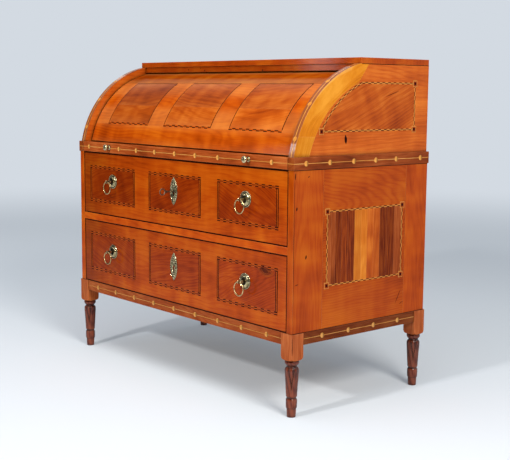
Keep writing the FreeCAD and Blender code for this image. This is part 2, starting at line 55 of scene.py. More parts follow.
# The studio: a pale floor that runs into a pale blue-grey surround, and wide soft lamps
studio = dict(
    lens=72.886, sensor=36.0,                      # mm, for a picture 510 wide and 460 high
    eye=(2.82493, -2.33040, 0.98672), yaw=49.386, pitch=7.661, roll=0.498,
    floorNear="#e4e8eb", floorFar="#d3dae2", surround="#d3dae2",
    floorGlow=0.22,                                # lifts the shadow a little
    floorSize=60.0, floorFade=(2.0, 7.5),          # metres: its size, and where it turns into the surround
    ambient=0.33, ambientColour="#d6e6f8",
    roomShade=0.08,                                # how dark the room in front of the desk is
    roomTurn=(-0.35, 0.45),                        # directions, front to back, where the room lightens
    floorTurn=(-2.0, 2.0),                         # and metres of floor
    lamps=(
        # name, place, aim, width, height, watts, colour
        ("lampAbove", (0.4, -0.9, 3.5), (0.15, -0.1, 0.4), 3.0, 2.4, 42.0, "#ffffff"),
        ("lampRight", (3.6, -1.0, 2.9), (0.3, 0.1, 0.5), 1.3, 1.3, 132.0, "#fffdfa"),
        ("lampFront", (0.55, -4.2, 2.9), (0.0, 0.0, 0.5), 0.3, 0.3, 112.0, "#ffffff"),
        ("lampFill", (-3.6, 0.2, 1.9), (0.0, 0.0, 0.5), 1.6, 1.6, 9.0, "#ffffff"),
        # a small one at the left, mirrored in the right cheek's round edge
        ("lampLeft", (-2.06, -2.4, 1.57), (0.5, -0.2, 0.8), 0.2, 1.0, 4.0, "#ffffff"),
    ),
)


def linear(code):
    # one sRGB hex colour to linear rgba
    out = []
    for i in (1, 3, 5):
        c = int(code[i:i + 2], 16) / 255
        out.append(c / 12.92 if c <= 0.04045 else ((c + 0.055) / 1.055) ** 2.4)
    return (*out, 1.0)


def addNode(tree, kind, inputs=None, stops=None, **settings):
    # one shader node: settings on the node, values or links on its sockets, stops on its colour ramp
    node = tree.nodes.new("ShaderNode" + kind)
    for key, value in settings.items():
        setattr(node, key, value)
    for key, value in (inputs or {}).items():
        if isinstance(value, bpy.types.NodeSocket):
            tree.links.new(value, node.inputs[key])
        else:
            node.inputs[key].default_value = value
    if stops:
        ramp = node.color_ramp.elements
        while len(ramp) < len(stops):
            ramp.new(0.5)
        for element, (position, colour) in zip(ramp, stops):
            element.position = position
            element.color = colour
    return node


def newMaterial(name):
    material = bpy.data.materials.new(name)
    material.use_nodes = True
    material.node_tree.nodes.clear()
    return material, material.node_tree


def makeStudio():
    camera = bpy.data.cameras.new("camera")
    camera.lens = studio["lens"]
    camera.sensor_fit = "HORIZONTAL"
    camera.sensor_width = studio["sensor"]
    eye = bpy.data.objects.new("camera", camera)
    turn = Matrix.Rotation(math.radians(studio["yaw"]), 4, "Z")
    turn = turn @ Matrix.Rotation(math.radians(90 - studio["pitch"]), 4, "X")
    turn = turn @ Matrix.Rotation(math.radians(studio["roll"]), 4, "Z")
    eye.matrix_world = Matrix.Translation(studio["eye"]) @ turn
    scene.collection.objects.link(eye)
    scene.camera = eye

    for name, place, aim, width, height, watts, colour in studio["lamps"]:
        light = bpy.data.lights.new(name, "AREA")
        light.shape = "RECTANGLE"
        light.size, light.size_y = width, height
        light.energy = watts
        light.color = linear(colour)[:3]
        lamp = bpy.data.objects.new(name, light)
        lamp.location = place
        lamp.visible_camera = False                # a lamp may light a view that it stands in
        lamp.rotation_euler = (Vector(aim) - Vector(place)).to_track_quat("-Z", "Y").to_euler()
        scene.collection.objects.link(lamp)

    # the surround is seen by the camera and in the polish, and lights the shadows a little;
    # the room in front of the desk, which only the polish mirrors, is darker than the backdrop behind it
    world = bpy.data.worlds.new("paleSurround")
    world.use_nodes = True
    tree = world.node_tree
    tree.nodes.clear()
    path = addNode(tree, "LightPath").outputs
    mirrored = addNode(tree, "Math", {0: path["Is Glossy Ray"], 1: path["Is Transmission Ray"]},
                       operation="MAXIMUM")
    seen = addNode(tree, "Math", {0: path["Is Camera Ray"], 1: mirrored.outputs[0]}, operation="MAXIMUM")
    coords = addNode(tree, "TexCoord")
    parts = addNode(tree, "SeparateXYZ", {0: coords.outputs["Generated"]})
    near, far = studio["roomTurn"]
    room = addNode(tree, "MapRange", {"Value": parts.outputs[1], "From Min": near, "From Max": far,
                                      "To Min": studio["roomShade"]}, interpolation_type="SMOOTHSTEP")
    level = addNode(tree, "Mix", {0: mirrored.outputs[0], 2: 1.0, 3: room.outputs[0]})
    glow = addNode(tree, "Background", {"Color": linear(studio["ambientColour"]),
                                        "Strength": studio["ambient"]})
    shown = addNode(tree, "Background", {"Color": linear(studio["surround"]), "Strength": level.outputs[0]})
    mix = addNode(tree, "MixShader", {0: seen.outputs[0], 1: glow.outputs[0], 2: shown.outputs[0]})
    addNode(tree, "OutputWorld", {"Surface": mix.outputs[0]})
    scene.world = world

    # the floor is matt and keeps the desk's shadow; far off it turns into the surround
    material, tree = newMaterial("mattPaleFloor")
    coords = addNode(tree, "TexCoord")
    distance = addNode(tree, "VectorMath", {0: coords.outputs["Object"]}, operation="LENGTH")
    near, far = studio["floorFade"]
    fade = addNode(tree, "MapRange", {"Value": distance.outputs["Value"], "From Min": near, "From Max": far,
                                      "To Min": studio["floorGlow"]}, interpolation_type="SMOOTHSTEP")
    paint = addNode(tree, "BsdfDiffuse", {"Color": linear(studio["floorNear"])})
    path = addNode(tree, "LightPath").outputs
    parts = addNode(tree, "SeparateXYZ", {0: coords.outputs["Object"]})
    near, far = studio["floorTurn"]
    room = addNode(tree, "MapRange", {"Value": parts.outputs[1], "From Min": near, "From Max": far,
                                      "To Min": studio["roomShade"]})
    level = addNode(tree, "Mix", {0: path["Is Camera Ray"], 2: room.outputs[0], 3: 1.0})
    haze = addNode(tree, "Emission", {"Color": linear(studio["floorFar"]), "Strength": level.outputs[0]})
    mix = addNode(tree, "MixShader", {0: fade.outputs["Result"], 1: paint.outputs[0], 2: haze.outputs[0]})
    addNode(tree, "OutputMaterial", {"Surface": mix.outputs[0]})
    half = studio["floorSize"] / 2
    mesh = bpy.data.meshes.new("floor")
    corners = [(-half, -half, 0), (half, -half, 0), (half, half, 0), (-half, half, 0)]
    mesh.from_pydata(corners, [], [(0, 1, 2, 3)])
    mesh.materials.append(material)
    floor = bpy.data.objects.new("floor", mesh)
    scene.collection.objects.link(floor)
    print("studio: camera, floor and", len(studio["lamps"]), "lamps")


# Woods. deep, mid and pale are the colours of late, mean and early wood, wear that of rubbed edges. ring and
# fibre are in mm: real growth rings of 2-4 mm and fibres of 0.2 mm are too fine to show, so both are drawn
# several times as coarse. lean is how steeply a board cuts the trunk, which draws the arches closer; figure,
# streak, cloud and ripple say how clearly rings, fibres, patches and cross bands show. The gloss is the
# polish's, so matt, what the wood itself mirrors, is nothing under it.
frenchPolish = dict(matt=0.0, rough=0.36, coat=0.3, coatRough=0.1, lean=0.05)
handPolish = dict(matt=0.0, rough=0.38, coat=0.2, coatRough=0.14, lean=0.05)
woods = {
    # cherry, planed, veneered and french polished: warm orange with soft arched figure and a clear gloss
    "cherryFrenchPolished": dict(
        frenchPolish, deep="#943002", mid="#bb4906", pale="#d2650f", wear="#d8904a",
        ring=11, fibre=2.2, figure=0.11, streak=0.44, cloud=0.6, ripple=0.38),
    # cherry sawn flat, planed and french polished: the same orange with clear arches
    "cherryFlatSawn": dict(
        frenchPolish, deep="#943002", mid="#bb4906", pale="#d2650f", wear="#d8904a",
        ring=8, fibre=2.2, lean=0.17, figure=0.16, streak=0.36, cloud=0.6, ripple=0.3),
    # cherry paled by daylight, planed and french polished: a browner orange
    "cherrySunned": dict(
        frenchPolish, deep="#94380a", mid="#ba5414", pale="#d27022", wear="#d8904a",
        ring=11, fibre=2.2, figure=0.12, streak=0.44, cloud=0.6, ripple=0.3),
    # cherry veneer bent over the shell and french polished thinly: the same orange, a duller gloss
    "cherryShellVeneer": dict(
        frenchPolish, deep="#963402", mid="#bc4c06", pale="#d4690f", wear="#d8904a", coat=0.14,
        coatRough=0.14, ring=11, fibre=2.2, lean=0.08, figure=0.16, streak=0.36, cloud=0.6, ripple=0.5),
    # darker heart of the cherry, french polished: red brown, cut so that the figure runs aslant
    "cherryHeartVeneer": dict(
        frenchPolish, deep="#641a02", mid="#923004", pale="#b44e0a", wear="#b5602c",
        ring=7, fibre=2.2, figure=0.14, streak=0.46, cloud=0.42, ripple=0.3),
    # cherry from the fork of the tree, french polished: orange brown with a swirling figure
    "cherryForkVeneer": dict(
        frenchPolish, deep="#802c06", mid="#ac4a0e", pale="#ca6c20", wear="#c88048",
        ring=12, fibre=2.6, figure=0.14, streak=0.46, cloud=0.6, ripple=0.4),
    # walnut bands, oiled and polished: brown with straight dark streaks
    "walnutPolished": dict(
        handPolish, deep="#561e08", mid="#863a14", pale="#a65a2a", wear="#b07848",
        ring=7, fibre=2.2, figure=0.12, streak=0.5, cloud=0.5, ripple=0.2),
    # the same walnut on the cheeks' round edges, polished bright by hands: brown with white lights
    "walnutBurnished": dict(
        handPolish, deep="#5e240c", mid="#8e4420", pale="#ae6638", wear="#b88456", coat=0.9, coatRough=0.07,
        ring=7, fibre=2.2, figure=0.12, streak=0.5, cloud=0.5, ripple=0.2),
    # walnut sawn on the quarter and polished: close upright lines, dark brown
    "walnutQuartered": dict(
        handPolish, deep="#461404", mid="#72280a", pale="#94420f", wear="#a06a48",
        ring=8, fibre=3.4, figure=0.08, streak=1.4, cloud=0.3, ripple=0.1),
    # pearwood golden with age, polished: clear yellow orange, almost without figure
    "goldenPearPolished": dict(
        frenchPolish, deep="#c4660c", mid="#de8214", pale="#f09e2e", wear="#f0b868", coat=0.22,
        ring=10, fibre=2.4, figure=0.1, streak=0.7, cloud=0.8, ripple=0.2),
    # pearwood toned brown and polished: dull orange, straight and quiet
    "pearToned": dict(
        frenchPolish, deep="#a04c08", mid="#c4681a", pale="#dc8a30", wear="#e0a058", coat=0.22,
        ring=10, fibre=2.4, figure=0.1, streak=0.5, cloud=0.5, ripple=0.2),
    # plum, stained nearly black and polished: dark lines that set off the cherry
    "plumStained": dict(
        handPolish, deep="#160502", mid="#260a04", pale="#3a140a", wear="#54240f", rough=0.4, coat=0.1,
        coatRough=0.2, ring=6, fibre=2.0, figure=0.3, streak=0.4, cloud=0.5, ripple=0.0),
    # maple, scraped and polished under old varnish: straw coloured lines
    "mapleVarnished": dict(
        handPolish, deep="#c87830", mid="#e0963f", pale="#f4b468", wear="#eaa85c", rough=0.36,
        ring=6, fibre=2.0, figure=0.3, streak=0.4, cloud=0.5, ripple=0.0),
    # turned cherry, stained dark and polished: red brown with sharp white lights, nearly black in the carving with
    # painted shade
    "cherryStainedTurned": dict(
        frenchPolish, deep="#2e0d05", mid="#5a2110", pale="#844026", wear="#a86a46", rough=0.32, coat=0.8,
        coatRough=0.05, ring=8, fibre=2.4, figure=0.3, streak=0.6, cloud=0.6, ripple=0.0),
    # the leg's square block, cherry waxed and left lighter than the turning: orange brown, upright grain
    "cherryBlockWaxed": dict(
        handPolish, deep="#7e3210", mid="#a84f24", pale="#c66e38", wear="#cf9468",
        ring=9, fibre=2.8, figure=0.16, streak=0.8, cloud=0.6, ripple=0.0),
    # spruce, planed and left bare: dry straw with clear brown late wood
    "spruceBarePlaned": dict(
        deep="#8e6234", mid="#b98c54", pale="#d0aa72", wear="#c9a878", matt=0.3, rough=0.66, coat=0.0,
        coatRough=0.4, lean=0.05, ring=6, fibre=2.6, figure=0.2, streak=0.5, cloud=0.5, ripple=0.0),
}
# What all woods share. Noises: how many fit in a metre along the grain and across it, and their detail
woodPattern = dict(
    drift=(2.6, 8.0, 2.0), clouds=(4.0, 12.0, 3.0), ripples=(20.0, 4.0, 1.0),
    fibreLength=30, fibreDetail=4.0, fibreRough=0.62,        # fibres are that many times as long as thick
    step=(1.37, 0.173, 0.091),                               # metres in the trunk from one shift to the next
    bend=0.07, leanSpread=0.025,                             # metres of bend, spread of the lean
    pith=(0.03, -0.035, 0.02, 0.03),                         # metres: swing and place across, then in depth
    ringNoise=dict(zip(("Distortion", "Detail", "Detail Scale", "Detail Roughness"), (1.6, 3.0, 0.4, 0.55))),
    lateWood=2.2, shares=dict(fibres=1.7, clouds=1.9, ripples=1.6), stops=(0.1, 0.5, 0.9),
    dirtAndShadeReach=14, dirtAndShade=(0.35, 0.9, 0.25), hollow=0.1,        # mm from a corner for dirt and painted shade; openness from, to; how dark the painted shade in carving is
    edge=2.2, rubbed=(0.995, 0.9, 0.5),                      # mm of rubbed edge; turn from, to; how pale
    shine=(0.3, 0.75, -0.06, 0.1), bump=0.16, bumpDepth=0.6)
madeMaterials = {}


def wood(kind, grain, shift=0, coords="Object", tone=1.0, middle=(0.0, 0.0, 0.0), shade=None, carved=False):
    # one board: its wood, the axis of the grain and the one across it in the face, a shift that gives it its
    # own figure, a tone, the middle of the board where the arches of the figure are centred, and shade: the
    # places along the grain between which a board is darker, and how much, as painted shade or as the scorch
    # of sand-shaded dots; carved wood is darkened with painted shade where the mesh says it is hollow
    key = (kind, grain, shift, coords, tone, tuple(middle), shade, carved)
    if key in madeMaterials:
        return madeMaterials[key]
    spec, pattern = woods[kind], woodPattern
    material, tree = newMaterial("%s_%s_%d" % (kind, grain, len(madeMaterials)))
    if coords == "Object":
        source = addNode(tree, "TexCoord").outputs["Object"]
    else:
        source = addNode(tree, "Attribute", attribute_name=coords).outputs["Vector"]
    centred = addNode(tree, "VectorMath", {0: source, 1: tuple(middle)}, operation="SUBTRACT")
    parts = addNode(tree, "SeparateXYZ", {0: centred.outputs[0]})
    first, second = ("xyz".index(letter) for letter in grain)
    along, across, deep = (parts.outputs[i] for i in (first, second, 3 - first - second))
    board = addNode(tree, "CombineXYZ", {0: along, 1: across, 2: deep})
    step = tuple(value * shift for value in pattern["step"])
    moved = addNode(tree, "VectorMath", {0: board.outputs[0], 1: step}, operation="ADD")

    # noises of the board: the bending trunk, thin fibres, broad patches and bands across the grain
    thin = 1 / (spec["fibre"] * mm)
    sizes = {name: (*pattern[name], 0.5) for name in ("drift", "clouds", "ripples")}
    sizes["fibres"] = (thin / pattern["fibreLength"], thin, pattern["fibreDetail"], pattern["fibreRough"])
    noises = {}
    for name, (lengthwise, crosswise, detail, rough) in sizes.items():
        drawn = addNode(tree, "VectorMath", {0: moved.outputs[0], 1: (lengthwise, crosswise, crosswise)},
                        operation="MULTIPLY")
        noises[name] = addNode(tree, "TexNoise", {"Vector": drawn.outputs[0], "Scale": 1.0, "Detail": detail,
                                                  "Roughness": rough}).outputs
    fibres = noises["fibres"]["Fac"]

    # the board cuts the trunk aslant, so its rings show as long arches, and the trunk bends a little
    bend = pattern["bend"]
    swing = addNode(tree, "VectorMath", {0: noises["drift"]["Color"], 1: (0.0, bend, bend)},
                    operation="MULTIPLY")
    slope = spec["lean"] + pattern["leanSpread"] * math.sin(shift)
    lean = addNode(tree, "Math", {0: along, 1: slope}, operation="MULTIPLY")
    heart = addNode(tree, "CombineXYZ", {0: 0.0, 1: across, 2: lean.outputs[0]})
    wide, aside, high, below = pattern["pith"]
    pith = (0.0, wide * math.sin(2.4 * shift) + aside, below + high * math.cos(1.9 * shift))
    for offset in (swing.outputs[0], pith):
        heart = addNode(tree, "VectorMath", {0: heart.outputs[0], 1: offset}, operation="ADD")
    ringScale = 2 * math.pi / 20 / (spec["ring"] * mm)     # one ring of the wave is 2 pi / 20 wide at scale 1
    rings = addNode(tree, "TexWave", {"Vector": heart.outputs[0], "Scale": ringScale, **pattern["ringNoise"]},
                    wave_type="RINGS", rings_direction="X", wave_profile="SIN")
    late = addNode(tree, "Math", {0: rings.outputs["Fac"], 1: pattern["lateWood"]}, operation="POWER")

    # figure = late wood + fibres + clouds + ripple about a middle of one half
    shares = pattern["shares"]
    figure = 0.5
    for value, share in ((late.outputs[0], -spec["figure"]), (fibres, shares["fibres"] * spec["streak"]),
                         (noises["clouds"]["Fac"], shares["clouds"] * spec["cloud"]),
                         (noises["ripples"]["Fac"], shares["ripples"] * spec["ripple"])):
        about = addNode(tree, "Math", {0: value, 1: share, 2: -0.5 * share}, operation="MULTIPLY_ADD")
        figure = addNode(tree, "Math", {0: figure, 1: about.outputs[0]}, operation="ADD").outputs[0]
    colours = [linear(spec[name]) for name in ("deep", "mid", "pale")]
    stops = [(stop, (r * tone, g * tone, b * tone, 1.0))
             for stop, (r, g, b, a) in zip(pattern["stops"], colours)]
    colour = addNode(tree, "ValToRGB", {0: figure}, stops=stops)

    # dirt and painted shade darken corners and joints, and edges are rubbed paler
    corner = addNode(tree, "AmbientOcclusion", {"Distance": pattern["dirtAndShadeReach"] * mm}, samples=6)
    closed, free, dark = pattern["dirtAndShade"]
    dirtAndShade = addNode(tree, "MapRange", {"Value": corner.outputs["AO"], "From Min": closed, "From Max": free,
                                      "To Min": dark})
    darkened = dirtAndShade.outputs[0]
    # painted shade along the grain, as on the drawer fronts' left ends; the band dots' sand scorch uses it too
    if shade:
        fading = addNode(tree, "MapRange", {"Value": along, "From Min": shade[0], "From Max": shade[1],
                                            "To Min": shade[2]}, interpolation_type="SMOOTHSTEP")
        darkened = addNode(tree, "Math", {0: darkened, 1: fading.outputs[0]}, operation="MULTIPLY").outputs[0]
    # painted shade: carved wood is darker in its grooves and dark rings
    if carved:
        depth = addNode(tree, "Attribute", attribute_name="carved")
        hollow = addNode(tree, "MapRange", {"Value": depth.outputs["Fac"], "To Min": 1.0,
                                            "To Max": pattern["hollow"]})
        darkened = addNode(tree, "Math", {0: darkened, 1: hollow.outputs[0]}, operation="MULTIPLY").outputs[0]
    soiledAndShaded = addNode(tree, "Mix", {"Factor": 1.0, 6: colour.outputs[0], 7: darkened},
                     data_type="RGBA", blend_type="MULTIPLY")
    eased = addNode(tree, "Bevel", {"Radius": pattern["edge"] * mm}, samples=4)
    flat = addNode(tree, "NewGeometry")
    turned = addNode(tree, "VectorMath", {0: eased.outputs[0], 1: flat.outputs["Normal"]},
                     operation="DOT_PRODUCT")
    begin, end, paled = pattern["rubbed"]
    rubbed = addNode(tree, "MapRange", {"Value": turned.outputs["Value"], "From Min": begin, "From Max": end,
                                        "To Max": paled})
    patchy = addNode(tree, "Math", {0: rubbed.outputs[0], 1: noises["clouds"]["Fac"]}, operation="MULTIPLY")
    worn = addNode(tree, "Mix", {"Factor": patchy.outputs[0], 6: soiledAndShaded.outputs[2], 7: linear(spec["wear"])},
                   data_type="RGBA")

    begin, end, glossier, duller = pattern["shine"]
    shine = addNode(tree, "MapRange", {"Value": fibres, "From Min": begin, "From Max": end,
                                       "To Min": spec["rough"] + glossier, "To Max": spec["rough"] + duller})
    bump = addNode(tree, "Bump", {"Height": fibres, "Strength": pattern["bump"],
                                  "Distance": pattern["bumpDepth"] * mm})
    shader = addNode(tree, "BsdfPrincipled", {
        "Base Color": worn.outputs[2], "Roughness": shine.outputs[0], "IOR": 1.5, "Normal": bump.outputs[0],
        "Specular IOR Level": spec["matt"], "Coat Weight": spec["coat"], "Coat Roughness": spec["coatRough"],
        "Coat IOR": 1.5})
    addNode(tree, "OutputMaterial", {"Surface": shader.outputs[0]})
    madeMaterials[key] = material
    return material


# Metals. grit is the size in mm of the cast or forged texture, reach how far in mm dirt spreads from corners
metals = {
    # brass, cast and chased, long since dulled: pale greenish gold, dark in the hollows
    "brassCastDulled": dict(
        bright="#e4d4a8", dull="#988c62", hollow="#140f06", rough=0.17, grit=8.0, reach=9.0),
    # the same brass black with old polish where no cloth reaches, and with painted shade round the post
    "brassBlackenedAndShaded": dict(
        bright="#3a2e18", dull="#171007", hollow="#0a0703", rough=0.4, grit=4.0, reach=4.0),
    # brass wire, drawn and polished by use: a clear yellow gloss
    "brassDrawnPolished": dict(
        bright="#e8cc94", dull="#a9884f", hollow="#1e1408", rough=0.18, grit=6.0, reach=4.0),
    # iron, forged and filed: grey brown with some rust
    "ironForgedFiled": dict(
        bright="#8a7660", dull="#5a4636", hollow="#1c1511", rough=0.38, grit=5.0, reach=4.0),
}
# What the metals share: where tarnish begins and ends, how open a clean place is, the bump's depth in mm
metalPattern = dict(tarnish=(0.36, 0.66), clean=(0.4, 0.92), sunk=0.05, shine=(0.3, 0.7), duller=0.14,
                    bump=0.12, bumpDepth=0.4)


def metal(kind, relief=None):
    # relief gives the depths, along y in metres, of the hollows and the heights of a stamped plate
    spec, pattern = metals[kind], metalPattern
    key = (kind, relief)
    if key in madeMaterials:
        return madeMaterials[key]
    material, tree = newMaterial("%s_%d" % (kind, len(madeMaterials)))
    coords = addNode(tree, "TexCoord")
    patches = addNode(tree, "TexNoise", {"Vector": coords.outputs["Object"], "Scale": 1 / (spec["grit"] * mm),
                                         "Detail": 4.0})
    stops = [(stop, linear(spec[name])) for stop, name in zip(pattern["tarnish"], ("dull", "bright"))]
    tarnish = addNode(tree, "ValToRGB", {0: patches.outputs["Fac"]}, stops=stops)
    corner = addNode(tree, "AmbientOcclusion", {"Distance": spec["reach"] * mm}, samples=8)
    closed, free = pattern["clean"]
    openness = addNode(tree, "MapRange", {"Value": corner.outputs["AO"], "From Min": closed,
                                          "From Max": free})
    clean = openness.outputs[0]
    if relief:
        parts = addNode(tree, "SeparateXYZ", {0: coords.outputs["Object"]})
        height = addNode(tree, "MapRange", {"Value": parts.outputs[1], "From Min": relief[0],
                                            "From Max": relief[1], "To Min": pattern["sunk"]})
        clean = addNode(tree, "Math", {0: clean, 1: height.outputs[0]}, operation="MULTIPLY").outputs[0]
    colour = addNode(tree, "Mix", {"Factor": clean, 6: linear(spec["hollow"]), 7: tarnish.outputs[0]},
                     data_type="RGBA")
    begin, end = pattern["shine"]
    shine = addNode(tree, "MapRange", {"Value": patches.outputs["Fac"], "From Min": begin, "From Max": end,
                                       "To Min": spec["rough"] + pattern["duller"], "To Max": spec["rough"]})
    bump = addNode(tree, "Bump", {"Height": patches.outputs["Fac"], "Strength": pattern["bump"],
                                  "Distance": pattern["bumpDepth"] * mm})
    shader = addNode(tree, "BsdfPrincipled", {"Base Color": colour.outputs[2], "Metallic": 1.0,
                                              "Roughness": shine.outputs[0], "Normal": bump.outputs[0]})
    addNode(tree, "OutputMaterial", {"Surface": shader.outputs[0]})
    madeMaterials[key] = material
    return material


def addPiece(name, mesh, body, slotName, *replaced):
    piece = bpy.data.objects.new(name, mesh)
    scene.collection.objects.link(piece)
    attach(piece, body)
    if replaced:
        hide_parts(*replaced)
    return piece


def shadeRound(mesh, angle):
    # edges below that angle in degrees are shaded round
    mesh.polygons.foreach_set("use_smooth", [True] * len(mesh.polygons))
    mesh.set_sharp_from_angle(angle=math.radians(angle))


def finishMesh(name, bm, materials, smooth=None):
    mesh = bpy.data.meshes.new(name)
    bmesh.ops.recalc_face_normals(bm, faces=bm.faces)
    bm.to_mesh(mesh)
    bm.free()
    for material in materials:
        mesh.materials.append(material)
    if smooth:
        shadeRound(mesh, smooth)
    return mesh


def bridge(bm, low, high):
    # joins two rings of points, or a ring and a tip, by faces
    faces = []
    for k in range(len(low)):
        n = (k + 1) % len(low)
        upper = (high[n], high[k]) if len(high) > 1 else high
        faces.append(bm.faces.new((low[k], low[n], *upper)))
    return faces


def stackRings(bm, rings):
    # a stack of rings to one closed solid
    faces = [bm.faces.new(rings[0][::-1])]
    for low, high in zip(rings, rings[1:]):
        faces += bridge(bm, low, high)
    if len(rings[-1]) > 1:
        faces.append(bm.faces.new(rings[-1]))
    return faces


def angles(count):
    return [2 * math.pi * k / count for k in range(count)]


def centreOf(node):
    lowest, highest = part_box(node)
    return (lowest + highest) / 2


# Boards of the case and what they carry: node, wood, grain and the axis across it, shift, tone. Those
# under eased have their edges eased by hand
boards = dict(
    archRise=dict(side_panel_left=0.17, side_panel_right=0.17),  # metres from the middle up to the arches
    toneSpread=0.08, toneWave=2.3, ownShift=0.37,  # how much the boards of one node differ
    ease=0.9, weld=0.001, shortest=8.0,            # mm; shorter edges stay sharp
    flat=1.0, sharp=60.0,                          # degrees
    frontPaintedShade=(-0.6, -0.25, 0.62),                # painted shade: the drawers' left ends are darker, where the light falls off to the left
    eased=(
        ("base_rail_front", "walnutPolished", "xz", 1, 1.22),
        ("base_rail_back", "walnutPolished", "xz", 2, 1.0),
        ("base_rail_left", "walnutPolished", "yz", 3, 1.0),
        ("base_rail_right", "walnutPolished", "yz", 4, 0.62),
        ("side_panel_left", "cherryFlatSawn", "yz", 5, 0.84),
        ("side_panel_right", "cherryFlatSawn", "yz", 6, 0.75),
        ("side_stiles_left", "cherryFrenchPolished", "zy", 7, 0.92),
        ("side_stiles_right", "cherryFrenchPolished", "zy", 8, 0.79),
        ("waist_band_left", "walnutPolished", "yz", 9, 0.95),
        ("waist_band_right", "walnutPolished", "yz", 10, 1.06),
        ("slide_front_band", "walnutPolished", "xz", 11, 1.5),
        ("top_board", "cherryFrenchPolished", "xy", 12, 0.77),
        ("top_front_rail", "cherryFrenchPolished", "xz", 13, 0.62),
        ("drawer_divider_rail", "cherryFrenchPolished", "xz", 14, 0.98),
        ("writing_board", "cherryFrenchPolished", "xy", 15, 1.0),
        ("gallery_top", "cherryFrenchPolished", "xy", 16, 1.0),
        ("gallery_shelves", "cherryFrenchPolished", "xy", 17, 0.95),
        ("gallery_uprights", "cherryFrenchPolished", "zy", 18, 0.95),
        ("gallery_drawer_left", "cherryFrenchPolished", "xz", 19, 1.05),
        ("gallery_drawer_right", "cherryFrenchPolished", "xz", 20, 1.05),
        ("bottom_board", "spruceBarePlaned", "xy", 21, 0.5),
        ("lower_back_panel", "spruceBarePlaned", "xz", 22, 0.9),
        ("upper_back_panel", "spruceBarePlaned", "xz", 23, 0.85),
        ("drawer_runners", "spruceBarePlaned", "yx", 24, 0.95),
        ("slide_bearers", "spruceBarePlaned", "yx", 25, 0.95),
        ("top_drawer_back", "spruceBarePlaned", "xz", 26, 1.0),
        ("bottom_drawer_back", "spruceBarePlaned", "xz", 27, 1.0),
        ("top_drawer_bottom", "spruceBarePlaned", "xy", 28, 1.0),
        ("bottom_drawer_bottom", "spruceBarePlaned", "xy", 29, 1.0),
    ),
    asDrawn=(
        ("cheek_left", "cherrySunned", "yz", 30, 1.0),
        ("cheek_right", "cherrySunned", "yz", 31, 1.04),
        ("top_drawer_front", "cherryFrenchPolished", "xz", 33, 0.85),
        ("bottom_drawer_front", "cherryFrenchPolished", "xz", 34, 0.81),
        ("top_drawer_sides", "spruceBarePlaned", "yz", 35, 1.0),
        ("bottom_drawer_sides", "spruceBarePlaned", "yz", 36, 1.0),
        ("cylinder_end_left", "spruceBarePlaned", "zy", 37, 0.95),
        ("cylinder_end_right", "spruceBarePlaned", "zy", 38, 0.95),
        ("slide_drop_arms", "spruceBarePlaned", "zy", 39, 0.95),
    ),
    iron=("cylinder_pivots", "key", "top_drawer_lock", "bottom_drawer_lock",
          "top_lock_bolt", "bottom_lock_bolt"),
    brass=("gallery_knob_left", "gallery_knob_right"),
)


def dress(node, material):
    for slot in nodes[node].material_slots:
        slot.material = material


def solidsOf(bm):
    # the separate boards of one node, each as a list of its faces
    bm.faces.index_update()
    seen, solids = set(), []
    for face in bm.faces:
        if face.index in seen:
            continue
        seen.add(face.index)
        solid, edge = [], [face]
        while edge:
            solid.append(edge.pop())
            for near in (f for e in solid[-1].edges for f in e.link_faces if f.index not in seen):
                seen.add(near.index)
                edge.append(near)
        solids.append(solid)
    return solids


def easedBoard(node, kind, grain, shift, tone):
    # the board of the frame again, with its long sharp edges taken off; each solid of it has its own figure
    bm = bmesh.new()
    bm.from_mesh(nodes[node].data)
    bmesh.ops.remove_doubles(bm, verts=bm.verts, dist=boards["weld"] * mm)
    bmesh.ops.dissolve_limit(bm, angle_limit=math.radians(boards["flat"]), verts=bm.verts, edges=bm.edges)
    materials = []
    for k, solid in enumerate(solidsOf(bm)):
        corners = [v.co for face in solid for v in face.verts]
        middle = [round((min(c[i] for c in corners) + max(c[i] for c in corners)) / 2, 4) for i in range(3)]
        middle[2] += boards["archRise"].get(node, 0.0)
        own = tone * (1 + boards["toneSpread"] * math.sin(boards["toneWave"] * k))
        materials.append(wood(kind, grain, shift + boards["ownShift"] * k, tone=own, middle=middle))
        for face in solid:
            face.material_index = k
    limit = math.radians(boards["sharp"])
    sharp = [e for e in bm.edges if len(e.link_faces) == 2 and e.calc_face_angle() > limit
             and e.calc_length() > boards["shortest"] * mm]
    bmesh.ops.bevel(bm, geom=sharp, offset=boards["ease"] * mm, segments=2, profile=0.5, affect="EDGES",
                    clamp_overlap=True)
    mesh = finishMesh(node + "_eased", bm, materials)
    slotName = nodes[node].material_slots[0].material.name.split(".")[0]
    addPiece(node + "_eased", mesh, bodyOf[node], slotName, node)


def middleOf(node):
    return [round(value, 4) for value in centreOf(node)]


def makeBoards():
    for entry in boards["eased"]:
        easedBoard(*entry)
    for node, kind, grain, shift, tone in boards["asDrawn"]:
        # painted shade: the drawer fronts grow darker towards their left ends
        shade = boards["frontPaintedShade"] if node.endswith("drawer_front") else None
        dress(node, wood(kind, grain, shift, tone=tone, middle=middleOf(node), shade=shade))
    for node in boards["iron"]:
        dress(node, metal("ironForgedFiled"))
    for node in boards["brass"]:
        dress(node, metal("brassCastDulled"))
    print("boards:", len(boards["eased"]), "eased,", len(boards["asDrawn"]), "as drawn")


# Veneer is laid piece by piece on sheets. A sheet has its own flat u and v in metres; place(u, v, h) puts a
# point on the desk, h above the ground. The attribute veneer keeps u and v from each piece's middle, turned
# by the angle it was cut at, so that the figure follows the piece. Sizes in mm: each layer of line or dot
# stands a layer higher
veneer = dict(proud=0.25, sunk=0.15, layer=0.05, dark=50, light=51, red=52, redTone=0.5, smooth=25)


def cutVeneer(kind, shift, tone=1.0, grain="xy", shade=None):
    return wood(kind, grain, shift, coords="veneer", tone=tone, shade=shade)


